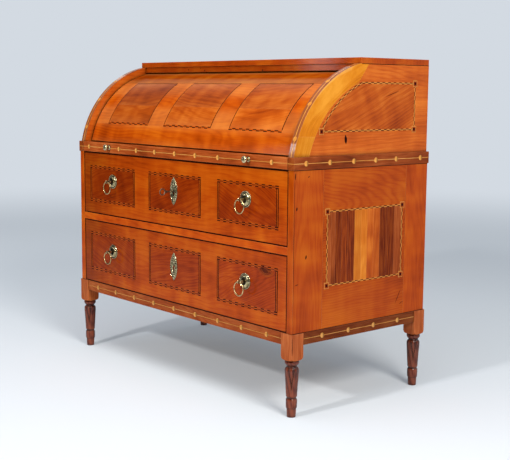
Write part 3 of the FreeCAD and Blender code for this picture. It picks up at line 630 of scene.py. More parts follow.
def startSheet():
    bm = bmesh.new()
    return dict(bm=bm, figure=bm.verts.layers.float_vector.new("veneer"), materials=[])


def endSheet(sheet, name, body, slotName):
    mesh = finishMesh(name, sheet["bm"], sheet["materials"], smooth=veneer["smooth"])
    addPiece(name, mesh, body, slotName)


def addPoints(sheet, place, spots, h, cut):
    # cut is the middle of the piece and the angle of its figure in degrees
    c, t = math.cos(math.radians(cut[2])), math.sin(math.radians(cut[2]))
    points = []
    for u, v in spots:
        points.append(sheet["bm"].verts.new(place(u, v, h * mm)))
        du, dv = u - cut[0], v - cut[1]
        points[-1][sheet["figure"]] = (c * du + t * dv, c * dv - t * du, 0)
    return points


def paint(sheet, faces, material):
    if material not in sheet["materials"]:
        sheet["materials"].append(material)
    for face in faces:
        face.material_index = sheet["materials"].index(material)


def addTile(sheet, place, u0, u1, v0, v1, material, stepsU=1, stepsV=1, layer=0, angle=0.0):
    # a piece with straight sides, cut into steps so that it can follow a curve
    cut = ((u0 + u1) / 2, (v0 + v1) / 2, angle)
    height = veneer["proud"] + layer * veneer["layer"]
    spots = {(i, j): (u0 + (u1 - u0) * i / stepsU, v0 + (v1 - v0) * j / stepsV)
             for i in range(stepsU + 1) for j in range(stepsV + 1)}
    grid = dict(zip(spots, addPoints(sheet, place, spots.values(), height, cut)))
    faces = [sheet["bm"].faces.new((grid[i, j], grid[i + 1, j], grid[i + 1, j + 1], grid[i, j + 1]))
             for i in range(stepsU) for j in range(stepsV)]
    outline = [(i, 0) for i in range(stepsU)] + [(stepsU, j) for j in range(stepsV)]
    outline += [(i, stepsV) for i in range(stepsU, 0, -1)] + [(0, j) for j in range(stepsV, 0, -1)]
    low = addPoints(sheet, place, [spots[spot] for spot in outline], -veneer["sunk"], cut)
    faces += bridge(sheet["bm"], low, [grid[spot] for spot in outline])
    faces.append(sheet["bm"].faces.new(low[::-1]))
    paint(sheet, faces, material)


def addShape(sheet, place, outline, material, layer=0, angle=0.0):
    # a flat piece of any outline
    cut = (*((min(values) + max(values)) / 2 for values in zip(*outline)), angle)
    heights = (-veneer["sunk"], veneer["proud"] + layer * veneer["layer"])
    rings = [addPoints(sheet, place, outline, height, cut) for height in heights]
    paint(sheet, stackRings(sheet["bm"], rings), material)


def addDot(sheet, place, u, v, radius, material, layer=0):
    outline = [(u + radius * math.cos(a), v + radius * math.sin(a)) for a in angles(28)]
    addShape(sheet, place, outline, material, layer)


def stringLine(spec, light="mapleVarnished", tone=1.0, darkTone=1.0):
    pair = (cutVeneer("plumStained", veneer["dark"], darkTone), cutVeneer(light, veneer["light"], tone))
    return dict(rows=spec["rows"], row=spec["row"] * mm, dash=spec["dash"] * mm, woods=pair)


def addStringing(sheet, place, along, start, end, across, line, steps=1):
    # rows of short dashes side by side, dark and light in turn like a chequer; along is "u" or "v"
    count = max(2, round((end - start) / line["dash"]))
    for row in range(line["rows"]):
        low = across + (row - line["rows"] / 2) * line["row"]
        for k in range(count):
            dash = (start + (end - start) * k / count, start + (end - start) * (k + 1) / count)
            beside = (low, low + line["row"])
            material = line["woods"][(k + row) % 2]
            if along == "u":
                addTile(sheet, place, *dash, *beside, material, stepsU=steps, layer=1)
            else:
                addTile(sheet, place, *beside, *dash, material, stepsV=steps, layer=1)


def onFront(node):
    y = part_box(node)[0].y
    return lambda u, v, h: (u, y - h, v)


def onSide(node, side):
    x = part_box(node)[1].x if side > 0 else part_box(node)[0].x
    return lambda u, v, h: (x + side * h, u, v)


turn = next(joint for joint in frame["joints"] if joint["name"] == "cylinder_turn")
axisY, axisZ = turn["pos_m"][1], turn["pos_m"][2]
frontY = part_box("side_stiles_right")[0].y        # the front of the case, from which depths count


def radiusOf(node):
    # distance of a node's foremost edge from the cylinder's axis
    foremost = min((v.co for v in nodes[node].data.vertices), key=lambda co: co.y)
    return math.hypot(foremost.y - axisY, foremost.z - axisZ)


def onCurve(radius):
    # u runs across, v is the length along the curve from the level of the axis upwards
    def place(u, v, h):
        angle = v / radius
        return (u, axisY - (radius + h) * math.cos(angle), axisZ + (radius + h) * math.sin(angle))
    return place


def aroundCentre(x, side, centre, radius):
    # on a cheek's flat side: u is the length along a curve of that radius, v the distance from its centre
    def place(u, v, h):
        angle = u / radius
        return (x + side * h, centre[0] - v * math.cos(angle), centre[1] + v * math.sin(angle))
    return place


def raised(place, height):
    return lambda u, v, h: place(u, v, h + height * mm)


def polar(point, centre):
    # a point of the flat side as an angle, zero to the front and growing upwards, and a distance
    y, z = point[0] - centre[0], point[1] - centre[1]
    return math.atan2(z, -y), math.hypot(y, z)


def circleThrough(a, b, c):
    # centre of the circle through three points of the flat side
    d = 2 * (a[0] * (b[1] - c[1]) + b[0] * (c[1] - a[1]) + c[0] * (a[1] - b[1]))
    squares = [q[0] ** 2 + q[1] ** 2 for q in (a, b, c)]
    y = (squares[0] * (b[1] - c[1]) + squares[1] * (c[1] - a[1]) + squares[2] * (a[1] - b[1])) / d
    z = (squares[0] * (c[0] - b[0]) + squares[1] * (a[0] - c[0]) + squares[2] * (b[0] - a[0])) / d
    return y, z


def arcPoints(a, b, c, count=30):
    centre = circleThrough(a, b, c)
    start, radius = polar(a, centre)
    end = polar(c, centre)[0]
    turns = [start + (end - start) * k / count for k in range(count + 1)]
    return [(centre[0] - radius * math.cos(t), centre[1] + radius * math.sin(t)) for t in turns]


def fieldSpans(spec):
    # left, middle and right field from the middle one's half width and the span of the outer ones
    near, far = (x * mm for x in spec["outer"])
    middle = spec["middle"] * mm
    return ((-far, -near), (-middle, middle), (near, far))


def addDashes(sheet, place, u0, u1, v, line, material, first):
    # one row of dashes as long as the gaps between them; first is 0 to begin with a dash and 1 with a gap
    count = 2 * round((u1 - u0) / line["dash"] / 2) + 1
    step = (u1 - u0) / count
    for k in range(first, count, 2):
        addTile(sheet, place, u0 + k * step, u0 + (k + 1) * step, v, v + line["row"], material, layer=2)


def framedField(sheet, place, u0, u1, v0, v1, material, line, angle):
    # a field of veneer in stringing: pairs of dark dashes above and below it with red ones between the pairs,
    # and two dark lines at each side
    addTile(sheet, place, u0, u1, v0, v1, material, angle=angle)
    thin = line["row"]
    wide = line["rows"] * thin
    dark, light = line["woods"]
    red = cutVeneer("cherryHeartVeneer", veneer["red"], veneer["redTone"])
    for v in (v0, v1 - wide):
        addTile(sheet, place, u0, u1, v, v + wide, light, layer=1)
        for k, dash in enumerate((dark, red, dark)):
            addDashes(sheet, place, u0, u1, v + k * thin, line, dash, k % 2)
    for u in (u0, u1 - wide):
        addTile(sheet, place, u, u + wide, v0 + wide, v1 - wide, light, layer=1)
        for across in (u, u + 2 * thin):
            addTile(sheet, place, across, across + thin, v0 + wide, v1 - wide, dark, layer=2)


def addShadowEdging(sheet, place, u0, u1, v0, v1, width, material):
    # painted shadow: dark strips along the four edges of a face, for the gaps round it
    for v in (v0, v1 - width):
        addTile(sheet, place, u0, u1, v, v + width, material)
    for u in (u0, u1 - width):
        addTile(sheet, place, u, u + width, v0 + width, v1 - width, material)


# The drawers' fields: half width of the middle one, span of the outer ones, and heights above the floor, in
# mm; angles are those of the figure in the three fields, in degrees; the tones grow darker to the left with
# painted shade, where the light falls off towards the left end
drawerFields = dict(
    middle=149, outer=(236, 532), top=(571, 706), bottom=(310, 455), rows=3, row=3.4, dash=16.5, lineTone=0.8,
    shadowEdging=2.5, shift=60, tones=dict(top=(0.79, 0.92, 1.0), bottom=(0.85, 0.94, 1.05)),
    angles=dict(top=(14, 20, -24), bottom=(-16, 12, 22)))


def makeDrawerFields():
    spec = drawerFields
    line = stringLine(spec, "cherryFrenchPolished", spec["lineTone"], spec["lineTone"])
    shift = spec["shift"]
    for row in rows:
        sheet = startSheet()
        node = row + "_drawer_front"
        place = onFront(node)
        v0, v1 = (z * mm for z in spec[row])
        for k, (u0, u1) in enumerate(fieldSpans(spec)):
            field = cutVeneer("cherryHeartVeneer", shift, spec["tones"][row][k])
            framedField(sheet, place, u0, u1, v0, v1, field, line, spec["angles"][row][k])
            shift += 1
        lowest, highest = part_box(node)
        # painted shadow: dark edging round the drawer front, for the gaps round the drawer
        dark = cutVeneer("plumStained", veneer["dark"])
        addShadowEdging(sheet, place, lowest.x, highest.x, lowest.z, highest.z, spec["shadowEdging"] * mm, dark)
        endSheet(sheet, row + "_drawer_marquetry", row + "_drawer", "cherry")
    print("drawer fields laid")


# The cylinder: a curved skin of cherry over the shell, with three fields between two angles, each joined
# from two leaves; skinTones are those below, between and above the fields, and the skin above the fields is
# much darker with painted shade, against the stronger light on the top of the shell
cylinder = dict(
    middle=133, outer=(228, 484), angles=(24.3, 60.0), rows=2, row=3.6, dash=17, steps=12, sideLine=3.0,
    joint=0.4, tones=((0.9, 0.77), (1.0, 0.87), (1.06, 0.92)), figure=(6, -8, 10), skinTones=(0.9, 0.9, 0.57),
    shadowEdging=2.0, skinSteps=40, shift=70)


def makeCylinder():
    spec = cylinder
    node = "cylinder_shell"
    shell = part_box(node)
    radius = radiusOf(node)
    dress(node, wood("spruceBarePlaned", "xz", spec["shift"], middle=middleOf(node)))
    turns = [math.atan2(v.co.z - axisZ, axisY - v.co.y) for v in nodes[node].data.vertices]
    first, last = min(turns) * radius, max(turns) * radius
    low, high = (math.radians(a) * radius for a in spec["angles"])
    place = onCurve(radius)
    sheet = startSheet()
    # painted shade: the skin above the fields is darker than below them
    for k, (v0, v1) in enumerate(((first, low), (low, high), (high, last))):
        skin = cutVeneer("cherryShellVeneer", spec["shift"] + 1 + 0.3 * k, spec["skinTones"][k])
        addTile(sheet, place, shell[0].x, shell[1].x, v0, v1, skin, stepsV=spec["skinSteps"])
    line = stringLine(spec, "cherryFrenchPolished")
    dark = line["woods"][0]
    thin = spec["sideLine"] * mm
    lifted = raised(place, veneer["proud"])
    levels = (low, low + spec["joint"] * (high - low), high)
    for k, (u0, u1) in enumerate(fieldSpans(spec)):
        for j, tone in enumerate(spec["tones"][k]):
            field = cutVeneer("cherryForkVeneer", spec["shift"] + 2 + 2 * k + j, tone)
            addTile(sheet, lifted, u0, u1, levels[j], levels[j + 1], field, stepsV=spec["steps"],
                    angle=spec["figure"][k])
        addStringing(sheet, lifted, "u", u0, u1, low + line["rows"] * line["row"] / 2, line)
        for u in (u0, u1 - thin):
            addTile(sheet, lifted, u, u + thin, low, high, dark, stepsV=2 * spec["steps"], layer=1)
        addTile(sheet, lifted, u0, u1, high - thin, high, dark, layer=1)
    # painted shadow: dark edges at the two sides, where the shell runs past the cheeks
    edge = spec["shadowEdging"] * mm
    for u in (shell[0].x, shell[1].x - edge):
        addTile(sheet, lifted, u, u + edge, first, last, dark, stepsV=2 * spec["skinSteps"])
    endSheet(sheet, "cylinder_marquetry", "cylinder", "cherry")
    print("cylinder veneered")


# The lower sides: a square of upright stripes in a rope border with a small square at each corner; places in
# mm, the stripes' edges as shares of the square
rope = dict(
    rows=2, row=2.7, dash=13, tone=0.95, darkTone=2.0, corner=20, shift=53,
    square=((1.0, "mapleVarnished", 0.72), (0.76, "cherryHeartVeneer", 1.2), (0.44, "plumStained", 1.5)))
sideSquare = dict(
    y=(141, 480), z=(396, 625), shift=80,
    edges=(0.0, 0.05, 0.104, 0.18, 0.262, 0.351, 0.44, 0.521, 0.606, 0.691, 0.79, 0.892, 1.0),
    stripes=(("walnutPolished", 1.25), ("walnutPolished", 1.15), ("walnutQuartered", 1.0),
             ("walnutQuartered", 1.15), ("walnutQuartered", 1.1), ("pearToned", 0.92),
             ("pearToned", 1.05), ("cherryForkVeneer", 1.05), ("cherryForkVeneer", 0.98),
             ("walnutQuartered", 0.9), ("walnutQuartered", 0.95), ("walnutPolished", 1.2)))


def cornerSquare(sheet, place, u, v):
    # a pale line, golden brown wood in it and a dark middle
    for k, (share, kind, tone) in enumerate(rope["square"]):
        half = rope["corner"] * mm * share / 2
        square = cutVeneer(kind, rope["shift"], tone)
        addTile(sheet, place, u - half, u + half, v - half, v + half, square, layer=k + 2)


def makeSideSquares():
    spec = sideSquare
    line = stringLine(rope, tone=rope["tone"], darkTone=rope["darkTone"])
    u0, u1 = (frontY + y * mm for y in spec["y"])
    v0, v1 = (z * mm for z in spec["z"])
    edges = [u0 + (u1 - u0) * share for share in spec["edges"]]
    reach = rope["corner"] * mm / 2
    for name, side in sides:
        sheet = startSheet()
        place = onSide("side_panel_" + name, side)
        for k, (kind, tone) in enumerate(spec["stripes"]):
            stripe = cutVeneer(kind, spec["shift"] + k, tone, "yx")
            addTile(sheet, place, edges[k], edges[k + 1], v0, v1, stripe)
        for v in (v0, v1):
            addStringing(sheet, place, "u", u0 + reach, u1 - reach, v, line)
        for u in (u0, u1):
            addStringing(sheet, place, "v", v0 + reach, v1 - reach, u, line)
            for v in (v0, v1):
                cornerSquare(sheet, place, u, v)
        endSheet(sheet, "side_marquetry_" + name, "case", "cherry")
    print("side squares laid")


# The cheeks: a golden band inside the curve with a browner foot, a field behind it in a rope border, and a
# strip on the round edge. Points are depth from the front of the case and height above the floor, in mm
cheek = dict(
    goldenCurve=((66, 794), (136, 921), (270, 1014)), goldenEnd=(316, 1074), goldenTone=0.86, footTop=854,
    footTone=0.77, footLayer=0.8, fieldCurve=((115, 868), (186, 955), (287, 1015)), fieldBack=534,
    fieldTone=1.03, figure=24, ropeLift=0.1, stripTone=0.85, lineTone=0.9, edgeLine=2.4, edgeDot=7.5,
    edgeDotShares=(0.135, 0.42, 0.66), edgeSteps=60, shift=90)


def makeCheeks():
    spec = cheek
    line = stringLine(rope, tone=rope["tone"], darkTone=rope["darkTone"])
    axis = (axisY, axisZ)
    inDesk = lambda point: (frontY + point[0] * mm, point[1] * mm)
    for name, side in sides:
        node = "cheek_" + name
        lowest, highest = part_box(node)
        radius = radiusOf(node)
        levels = (lowest.z, highest.z, spec["footTop"] * mm)
        start, end, footEnd = (math.asin((z - axisZ) / radius) for z in levels)
        x = highest.x if side > 0 else lowest.x
        flat = onSide(node, side)
        sheet = startSheet()
        # the golden band follows the curve from the waist to the top board; its foot is a separate piece
        inner = arcPoints(*(inDesk(point) for point in spec["goldenCurve"])) + [inDesk(spec["goldenEnd"])]
        below = [point for point in inner if point[1] < spec["footTop"] * mm]
        for top, points, shift, tone, layer in (
                (end, inner, spec["shift"], spec["goldenTone"], 0),
                (footEnd, below, spec["shift"] + 3, spec["footTone"], spec["footLayer"])):
            outline = [((start + (top - start) * k / 40) * radius, radius) for k in range(41)]
            inwards = (polar(point, axis) for point in reversed(points))
            outline += [(angle * radius, r) for angle, r in inwards]
            golden = cutVeneer("goldenPearPolished", shift, tone)
            addShape(sheet, aroundCentre(x, side, axis, radius), outline, golden, layer)
        # the field behind it: two straight sides and a curve
        corners = [inDesk(point) for point in spec["fieldCurve"]]
        points = arcPoints(*corners)
        (front, low), (frontHigh, high) = points[0], points[-1]
        back = frontY + spec["fieldBack"] * mm
        fork = cutVeneer("cherryForkVeneer", spec["shift"] + 1, spec["fieldTone"])
        addShape(sheet, flat, points + [(back, high), (back, low)], fork, 1, spec["figure"])
        bordered = raised(flat, spec["ropeLift"])
        addStringing(sheet, bordered, "u", front, back, low, line)
        addStringing(sheet, bordered, "u", frontHigh, back, high, line)
        addStringing(sheet, bordered, "v", low, high, back, line)
        centre = circleThrough(*corners)
        first, r = polar(points[0], centre)
        last = polar(points[-1], centre)[0]
        curved = raised(aroundCentre(x, side, centre, r), spec["ropeLift"])
        addStringing(sheet, curved, "u", first * r, last * r, r, line, steps=3)
        for u, v in ((front, low), (back, low), (back, high)):
            cornerSquare(sheet, bordered, u, v)
        # the round edge: a dark strip, a pale line along it and dots
        edge = onCurve(radius)
        strip = cutVeneer("walnutBurnished", spec["shift"] + 2, spec["stripTone"], "yx")
        length = (start * radius, end * radius)
        addTile(sheet, edge, lowest.x, highest.x, *length, strip, stepsV=spec["edgeSteps"])
        pale = cutVeneer("mapleVarnished", veneer["light"], spec["lineTone"], "yx")
        middle = (lowest.x + highest.x) / 2
        thin = spec["edgeLine"] * mm / 2
        addTile(sheet, edge, middle - thin, middle + thin, *length, pale, stepsV=spec["edgeSteps"], layer=2)
        for share in spec["edgeDotShares"]:
            rise = (start + (end - start) * share) * radius
            addDot(sheet, edge, middle, rise, spec["edgeDot"] * mm, pale, 4)
        endSheet(sheet, "cheek_marquetry_" + name, "case", "cherry")
    print("cheeks veneered")


# The bands: a pale line with dots, on the base rails and round the waist; places in mm. The dots are maple
# dipped in hot sand, so that one side of each is scorched; scorch is from where to where in the dot, and how
# much darker
bands = dict(
    line=1.9, lineTone=0.88, dot=8.0, scorch=(0.8, -0.1, 0.28), baseTone=0.74, waistTone=0.92, shift=100,
    baseRise=19, baseFront=(0, 121, 242, 363, 484), baseSide=(127, 242, 357, 472),
    waistFront=(-532, -330, -219, -107, 9, 123, 243, 503), waistSide=(46, 145, 248, 347, 442, 560))


def bandLine(sheet, node, side, level, dots, shift, tone):
    # side is 0 for the front; dots are mm from the middle of the front, or from the front of the case
    lowest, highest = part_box(node)
    place, axis, start = (onSide(node, side), 1, frontY) if side else (onFront(node), 0, 0.0)
    half, radius = bands["line"] * mm / 2, bands["dot"] * mm
    pale = cutVeneer("mapleVarnished", bands["shift"] + shift, bands["lineTone"] * tone)
    addTile(sheet, place, lowest[axis], highest[axis], level - half, level + half, pale)
    begin, end, dark = bands["scorch"]
    scorched = cutVeneer("mapleVarnished", bands["shift"] + shift + 1, tone,
                         shade=(begin * radius, end * radius, dark))
    for dot in dots:
        addDot(sheet, place, start + dot * mm, level, radius, scorched, 2)


def makeBands():
    sheet = startSheet()
    tone = bands["baseTone"]
    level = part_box("base_rail_front")[0].z + bands["baseRise"] * mm
    dots = sorted({sign * x for x in bands["baseFront"] for sign in (-1, 1)})
    bandLine(sheet, "base_rail_front", 0, level, dots, 0, tone)
    for name, side in sides:
        bandLine(sheet, "base_rail_" + name, side, level, bands["baseSide"], 2, tone)
    tone = bands["waistTone"]
    for name, side in sides:
        node = "waist_band_" + name
        bandLine(sheet, node, side, centreOf(node).z, bands["waistSide"], 4, tone)
        bandLine(sheet, node, 0, centreOf(node).z, (), 6, tone)
    endSheet(sheet, "case_band_inlay", "case", "walnut_band")
    sheet = startSheet()
    node = "slide_front_band"
    bandLine(sheet, node, 0, centreOf(node).z, bands["waistFront"], 8, tone)
    endSheet(sheet, "slide_band_inlay", "writing_slide", "walnut_band")
    print("bands inlaid")


# The legs: heights and radii of the turning as shares, from the floor up. Eight leaves with round tops stand
# round the shaft; every second one is a dart, cut by two grooves that meet in a point, and the others are
# long with a midrib. The dark rings are rings of painted shade in the grooves: height, half height, how dark;
# the carving gets painted shade after its depth. Other sizes in mm, middles of the figure in metres
legShape = dict(
    height=180, radius=21.5, around=112, levels=150,
    turning=((0.000, 0.60), (0.008, 0.64), (0.150, 0.70), (0.157, 0.70), (0.160, 0.76), (0.172, 0.79),
             (0.240, 0.815), (0.298, 0.81), (0.311, 0.79), (0.322, 0.73), (0.338, 0.70), (0.352, 0.73),
             (0.363, 0.79), (0.372, 0.80), (0.58, 0.90), (0.74, 0.98), (0.79, 1.01), (0.82, 1.02),
             (0.843, 0.985), (0.858, 0.92), (0.868, 0.84), (0.874, 0.78), (0.884, 0.75), (0.893, 0.755),
             (0.900, 0.80), (0.908, 0.86), (0.924, 0.96), (0.942, 1.03), (0.957, 1.045), (0.972, 1.025),
             (0.985, 0.96), (1.000, 0.90)),
    leaves=8, lobe=(0.775, 0.872, 2.8), lobeSwell=0.7, lobeRound=0.5, dartTop=0.80, dartTip=0.54,
    dartTail=0.40, groove=2.4, grooveWidth=1.9, midrib=0.9, midribWidth=1.4,
    shadedRings=((0.158, 0.014, 0.75), (0.338, 0.03, 0.9), (0.886, 0.028, 0.95)),
    block=50, blockHeight=82, blockEase=1.2, shoulder=26.5, shoulderHeight=12, shoulderSteps=8,
    footShift=40, footMiddle=0.09, blockShift=41, blockMiddle=0.22, blockTone=0.9, smooth=32)


def turningRadius(share):
    # radius in mm of the plain turning at one height
    points = legShape["turning"]
    for (z0, r0), (z1, r1) in zip(points, points[1:]):
        if share <= z1:
            return (r0 + (r1 - r0) * (share - z0) / (z1 - z0)) * legShape["radius"]
    return points[-1][1] * legShape["radius"]


def carvingDepth(share, angle):
    # what the carver took out at one place, in mm
    spec = legShape
    pitch = 2 * math.pi / spec["leaves"]
    wide = pitch * turningRadius(share)                              # mm from leaf to leaf
    fromDart = abs((angle / pitch) % 2 - 1) * wide                   # mm from the middle of the nearest dart
    low, high, notch = spec["lobe"]
    depth = 0.0
    if low < share < high:
        swell = math.sin(math.pi * (share - low) / (high - low)) ** spec["lobeSwell"]
        depth = notch * swell * (1 - abs(math.cos(math.pi * angle / pitch)) ** spec["lobeRound"])
    if spec["dartTail"] < share < spec["dartTop"]:
        edge = max(0.0, (share - spec["dartTip"]) / (spec["dartTop"] - spec["dartTip"])) * wide / 2
        fade = min(1.0, (share - spec["dartTail"]) / (spec["dartTip"] - spec["dartTail"]))
        groove = spec["groove"] * fade * max(0.0, 1 - abs(fromDart - edge) / spec["grooveWidth"])
        depth = max(depth, groove, spec["midrib"] * max(0.0, 1 - (wide - fromDart) / spec["midribWidth"]))
    return depth


def makeLegs():
    spec = legShape
    levels = {k / spec["levels"] for k in range(spec["levels"] + 1)}
    shares = sorted({share for share, radius in spec["turning"]} | levels)
    half, ease, tall = spec["block"] / 2, spec["blockEase"], spec["shoulderHeight"]
    steps = spec["shoulderSteps"]
    rises = [tall * k / steps for k in range(steps + 1)] + [spec["blockHeight"]]
    for row in ("front", "back"):
        for name, side in sides:
            node = "leg_%s_%s" % (row, name)
            x, y = centreOf(node).xy
            foot = wood("cherryStainedTurned", "zx", spec["footShift"], middle=(x, y, spec["footMiddle"]),
                        carved=True)
            block = wood("cherryBlockWaxed", "zx", spec["blockShift"] + side, tone=spec["blockTone"],
                         middle=(x, y, spec["blockMiddle"]))
            bm = bmesh.new()
            carved = bm.verts.layers.float.new("carved")
            rings = []
            for share in shares:
                # painted shade in the grooves: dark rings, and darkness after the depth of the carving
                ringShade = max(dark * max(0.0, 1 - abs(share - level) / reach)
                             for level, reach, dark in spec["shadedRings"])
                rings.append([])
                for a in angles(spec["around"]):
                    depth = carvingDepth(share, a)
                    r = (turningRadius(share) - depth) * mm
                    z = share * spec["height"] * mm
                    point = bm.verts.new((x + r * math.cos(a), y + r * math.sin(a), z))
                    point[carved] = max(ringShade, min(1.0, depth / spec["groove"]))
                    rings[-1].append(point)
            stackRings(bm, rings)
            # the square block above; the lathe has rounded its lower corners
            rings = []
            for rise in rises:
                swell = math.sqrt(1 - (1 - min(1.0, rise / tall)) ** 2)
                limit = spec["shoulder"] + (half * math.sqrt(2) - ease - spec["shoulder"]) * swell
                rings.append([])
                for a in angles(spec["around"]):
                    r = min(limit, half / max(abs(math.cos(a)), abs(math.sin(a)))) * mm
                    z = (spec["height"] + rise) * mm
                    rings[-1].append(bm.verts.new((x + r * math.cos(a), y + r * math.sin(a), z)))
            for face in stackRings(bm, rings):
                face.material_index = 1
            mesh = finishMesh(node + "_carved", bm, [foot, block], smooth=spec["smooth"])
            addPiece(node + "_carved", mesh, "case", "turned_leg", node)
    print("legs carved")


# Brass fittings, all sizes in mm. Profiles are (radius, distance in front of the face) of turned pieces
pulls = dict(
    around=64,
    rosette=((26.0, 0.0), (26.2, 1.0), (25.6, 2.2), (24.4, 2.8), (23.2, 2.2), (22.6, 1.0), (21.4, 1.0),
             (20.8, 2.6), (19.0, 4.4), (16.4, 5.8), (13.6, 6.6), (12.0, 6.8), (11.4, 5.4), (9.8, 5.4),
             (9.0, 7.4), (6.8, 8.6), (4.8, 9.4), (4.3, 11.0), (4.3, 17.5), (5.2, 18.4), (5.2, 19.8),
             (4.2, 20.6)),
    beads=34, beadRadius=1.15, beadRing=24.2, beadRise=2.2, eye=4.9, eyeWire=1.6, eyeReach=26.0,
    front=24.0, shank=3.0, shankEnd=6.0, shankAround=20, nut=13.0, nutThick=4.0, nutEase=0.6,
    black=12.2, blackDepth=14.0,                   # old black polish and painted shade: the middle is black so far out and forward
    ring=22.0, ringWire=2.2, ringPlay=0.5, ringSwell=0.12, castSmooth=38, wireSmooth=60)
slideKnob = dict(
    around=48, smooth=50,
    profile=((8.2, 0.0), (8.4, 0.8), (7.4, 1.8), (5.2, 2.8), (4.7, 5.0), (5.2, 8.6), (8.2, 11.4),
             (10.6, 13.6), (11.5, 15.4), (11.3, 17.4), (10.2, 19.6), (8.0, 21.4), (5.0, 22.5), (2.4, 22.9),
             (0.0, 23.0)))


def addTurned(bm, centre, profile, around):
    # a turned piece with its axis to the front; a profile that ends on the axis closes there in a tip
    x, y, z = centre
    rings = []
    for radius, reach in profile:
        r = radius * mm
        rings.append([bm.verts.new((x + r * math.cos(a), y - reach * mm, z + r * math.sin(a)))
                      for a in (angles(around) if r else [0.0])])
    stackRings(bm, rings)


def addHoop(bm, centre, radius, wire, across, swell=0.0, around=72, section=20):
    # a round wire bent to a ring; across is the axis it lies square to, swell thickens it at the bottom
    rings = []
    for a in angles(around):
        thick = wire * (1 + swell * max(0.0, -math.sin(a)))
        rings.append([])
        for b in angles(section):
            flat, out = (radius + thick * math.cos(b)) * mm, thick * math.sin(b) * mm
            u, v = flat * math.cos(a), flat * math.sin(a)
            offset = (u, out, v) if across == "y" else (out, u, v)
            rings[-1].append(bm.verts.new(Vector(centre) + Vector(offset)))
    for low, high in zip(rings, rings[1:] + rings[:1]):
        bridge(bm, low, high)


def makePulls():
    spec = pulls
    kinds = ("brassCastDulled", "brassDrawnPolished", "brassBlackenedAndShaded")
    cast, wire, black = (metal(kind) for kind in kinds)
    for row in rows:
        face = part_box(row + "_drawer_front")[0].y
        bm = bmesh.new()
        middles = []
        for name, side in sides:
            node = "%s_ring_%s" % (row, name)
            x = centreOf(node).x
            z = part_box(node)[1].z - (spec["ringWire"] + spec["ringPlay"]) * mm
            middles.append((x, z))
            addTurned(bm, (x, face, z), spec["rosette"], spec["around"])
            around = spec["beadRing"] * mm
            for a in angles(spec["beads"]):
                spot = (x + around * math.cos(a), face - spec["beadRise"] * mm, z + around * math.sin(a))
                bmesh.ops.create_uvsphere(bm, u_segments=8, v_segments=6, radius=spec["beadRadius"] * mm,
                                          matrix=Matrix.Translation(spot))
            eye = (x, face - spec["eyeReach"] * mm, z)
            addHoop(bm, eye, spec["eye"], spec["eyeWire"], "x", around=32, section=14)
            # behind the front: the shank and its square nut
            back = face + spec["front"] * mm
            shank = ((spec["shank"], -spec["shankEnd"]), (spec["shank"], spec["front"]))
            addTurned(bm, (x, back, z), shank, spec["shankAround"])
            size = Matrix.Diagonal((spec["nut"] * mm, spec["nutThick"] * mm, spec["nut"] * mm, 1))
            middle = Matrix.Translation((x, back + spec["nutThick"] * mm / 2, z))
            nut = bmesh.ops.create_cube(bm, size=1, matrix=middle @ size)
            edges = {e for v in nut["verts"] for e in v.link_edges}
            bmesh.ops.bevel(bm, geom=list(edges), offset=spec["nutEase"] * mm, segments=2, affect="EDGES")
        # old black polish and painted shade on the middle round the post
        for part in bm.faces:
            spot = part.calc_center_median()
            aside = min(math.hypot(spot.x - x, spot.z - z) for x, z in middles)
            inside = aside < spec["black"] * mm and face - spot.y < spec["blackDepth"] * mm
            part.material_index = 1 if inside else 0
        mesh = finishMesh(row + "_rosettes", bm, [cast, black], smooth=spec["castSmooth"])
        addPiece(row + "_rosettes", mesh, row + "_drawer", "brass", row + "_drawer_pull_mounts")
        for name, side in sides:
            node = "%s_ring_%s" % (row, name)
            bm = bmesh.new()
            addHoop(bm, centreOf(node), spec["ring"], spec["ringWire"], "y", swell=spec["ringSwell"])
            mesh = finishMesh(node + "_wire", bm, [wire], smooth=spec["wireSmooth"])
            addPiece(node + "_wire", mesh, "%s_%s_ring" % (row, name), "brass", node)
    print("ring pulls cast")


def makeSlideKnobs():
    bm = bmesh.new()
    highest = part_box("slide_knobs")[1]
    x = highest.x - max(radius for radius, reach in slideKnob["profile"]) * mm
    z = centreOf("slide_knobs").z
    for name, side in sides:
        addTurned(bm, (side * x, highest.y, z), slideKnob["profile"], slideKnob["around"])
    mesh = finishMesh("slide_knobs_turned", bm, [metal("brassCastDulled")], smooth=slideKnob["smooth"])
    addPiece("slide_knobs_turned", mesh, "writing_slide", "brass", "slide_knobs")
    print("slide knobs turned")


# The escutcheons: a pointed oval of stamped brass with a beaded rim, leaves above and below, and a raised
# keyhole. Sizes in mm; the leaf begins where the rim and the collar end
scutcheon = dict(
    height=96.0, width=40.0, thick=1.0, rim=1.8, rimWidth=2.6, beads=26, beadLow=0.45, collar=2.0,
    collarRing=6.6, collarWidth=1.1, collarEnd=8.5, leaf=2.0, ribs=8.8, ribCurl=(0.9, 0.45), ribLow=0.25,
    dents=(0.7, 0.3, 0.8), fadeRim=1.5, fadeCollar=2.0, hole=4.0, slot=4.6, drop=12.0, inside=0.6,
    cut=8, tip=0.9985, stepsAlong=120, stepsAcross=44, smooth=50)


def ovalHalf(v):
    # half width of the pointed oval at a height v from its middle: two arcs that meet in points
    h, w = scutcheon["height"] / 2, scutcheon["width"] / 2
    radius = (h * h + w * w) / (2 * w)
    return max(0.0, math.sqrt(max(0.0, radius * radius - v * v)) - (radius - w))


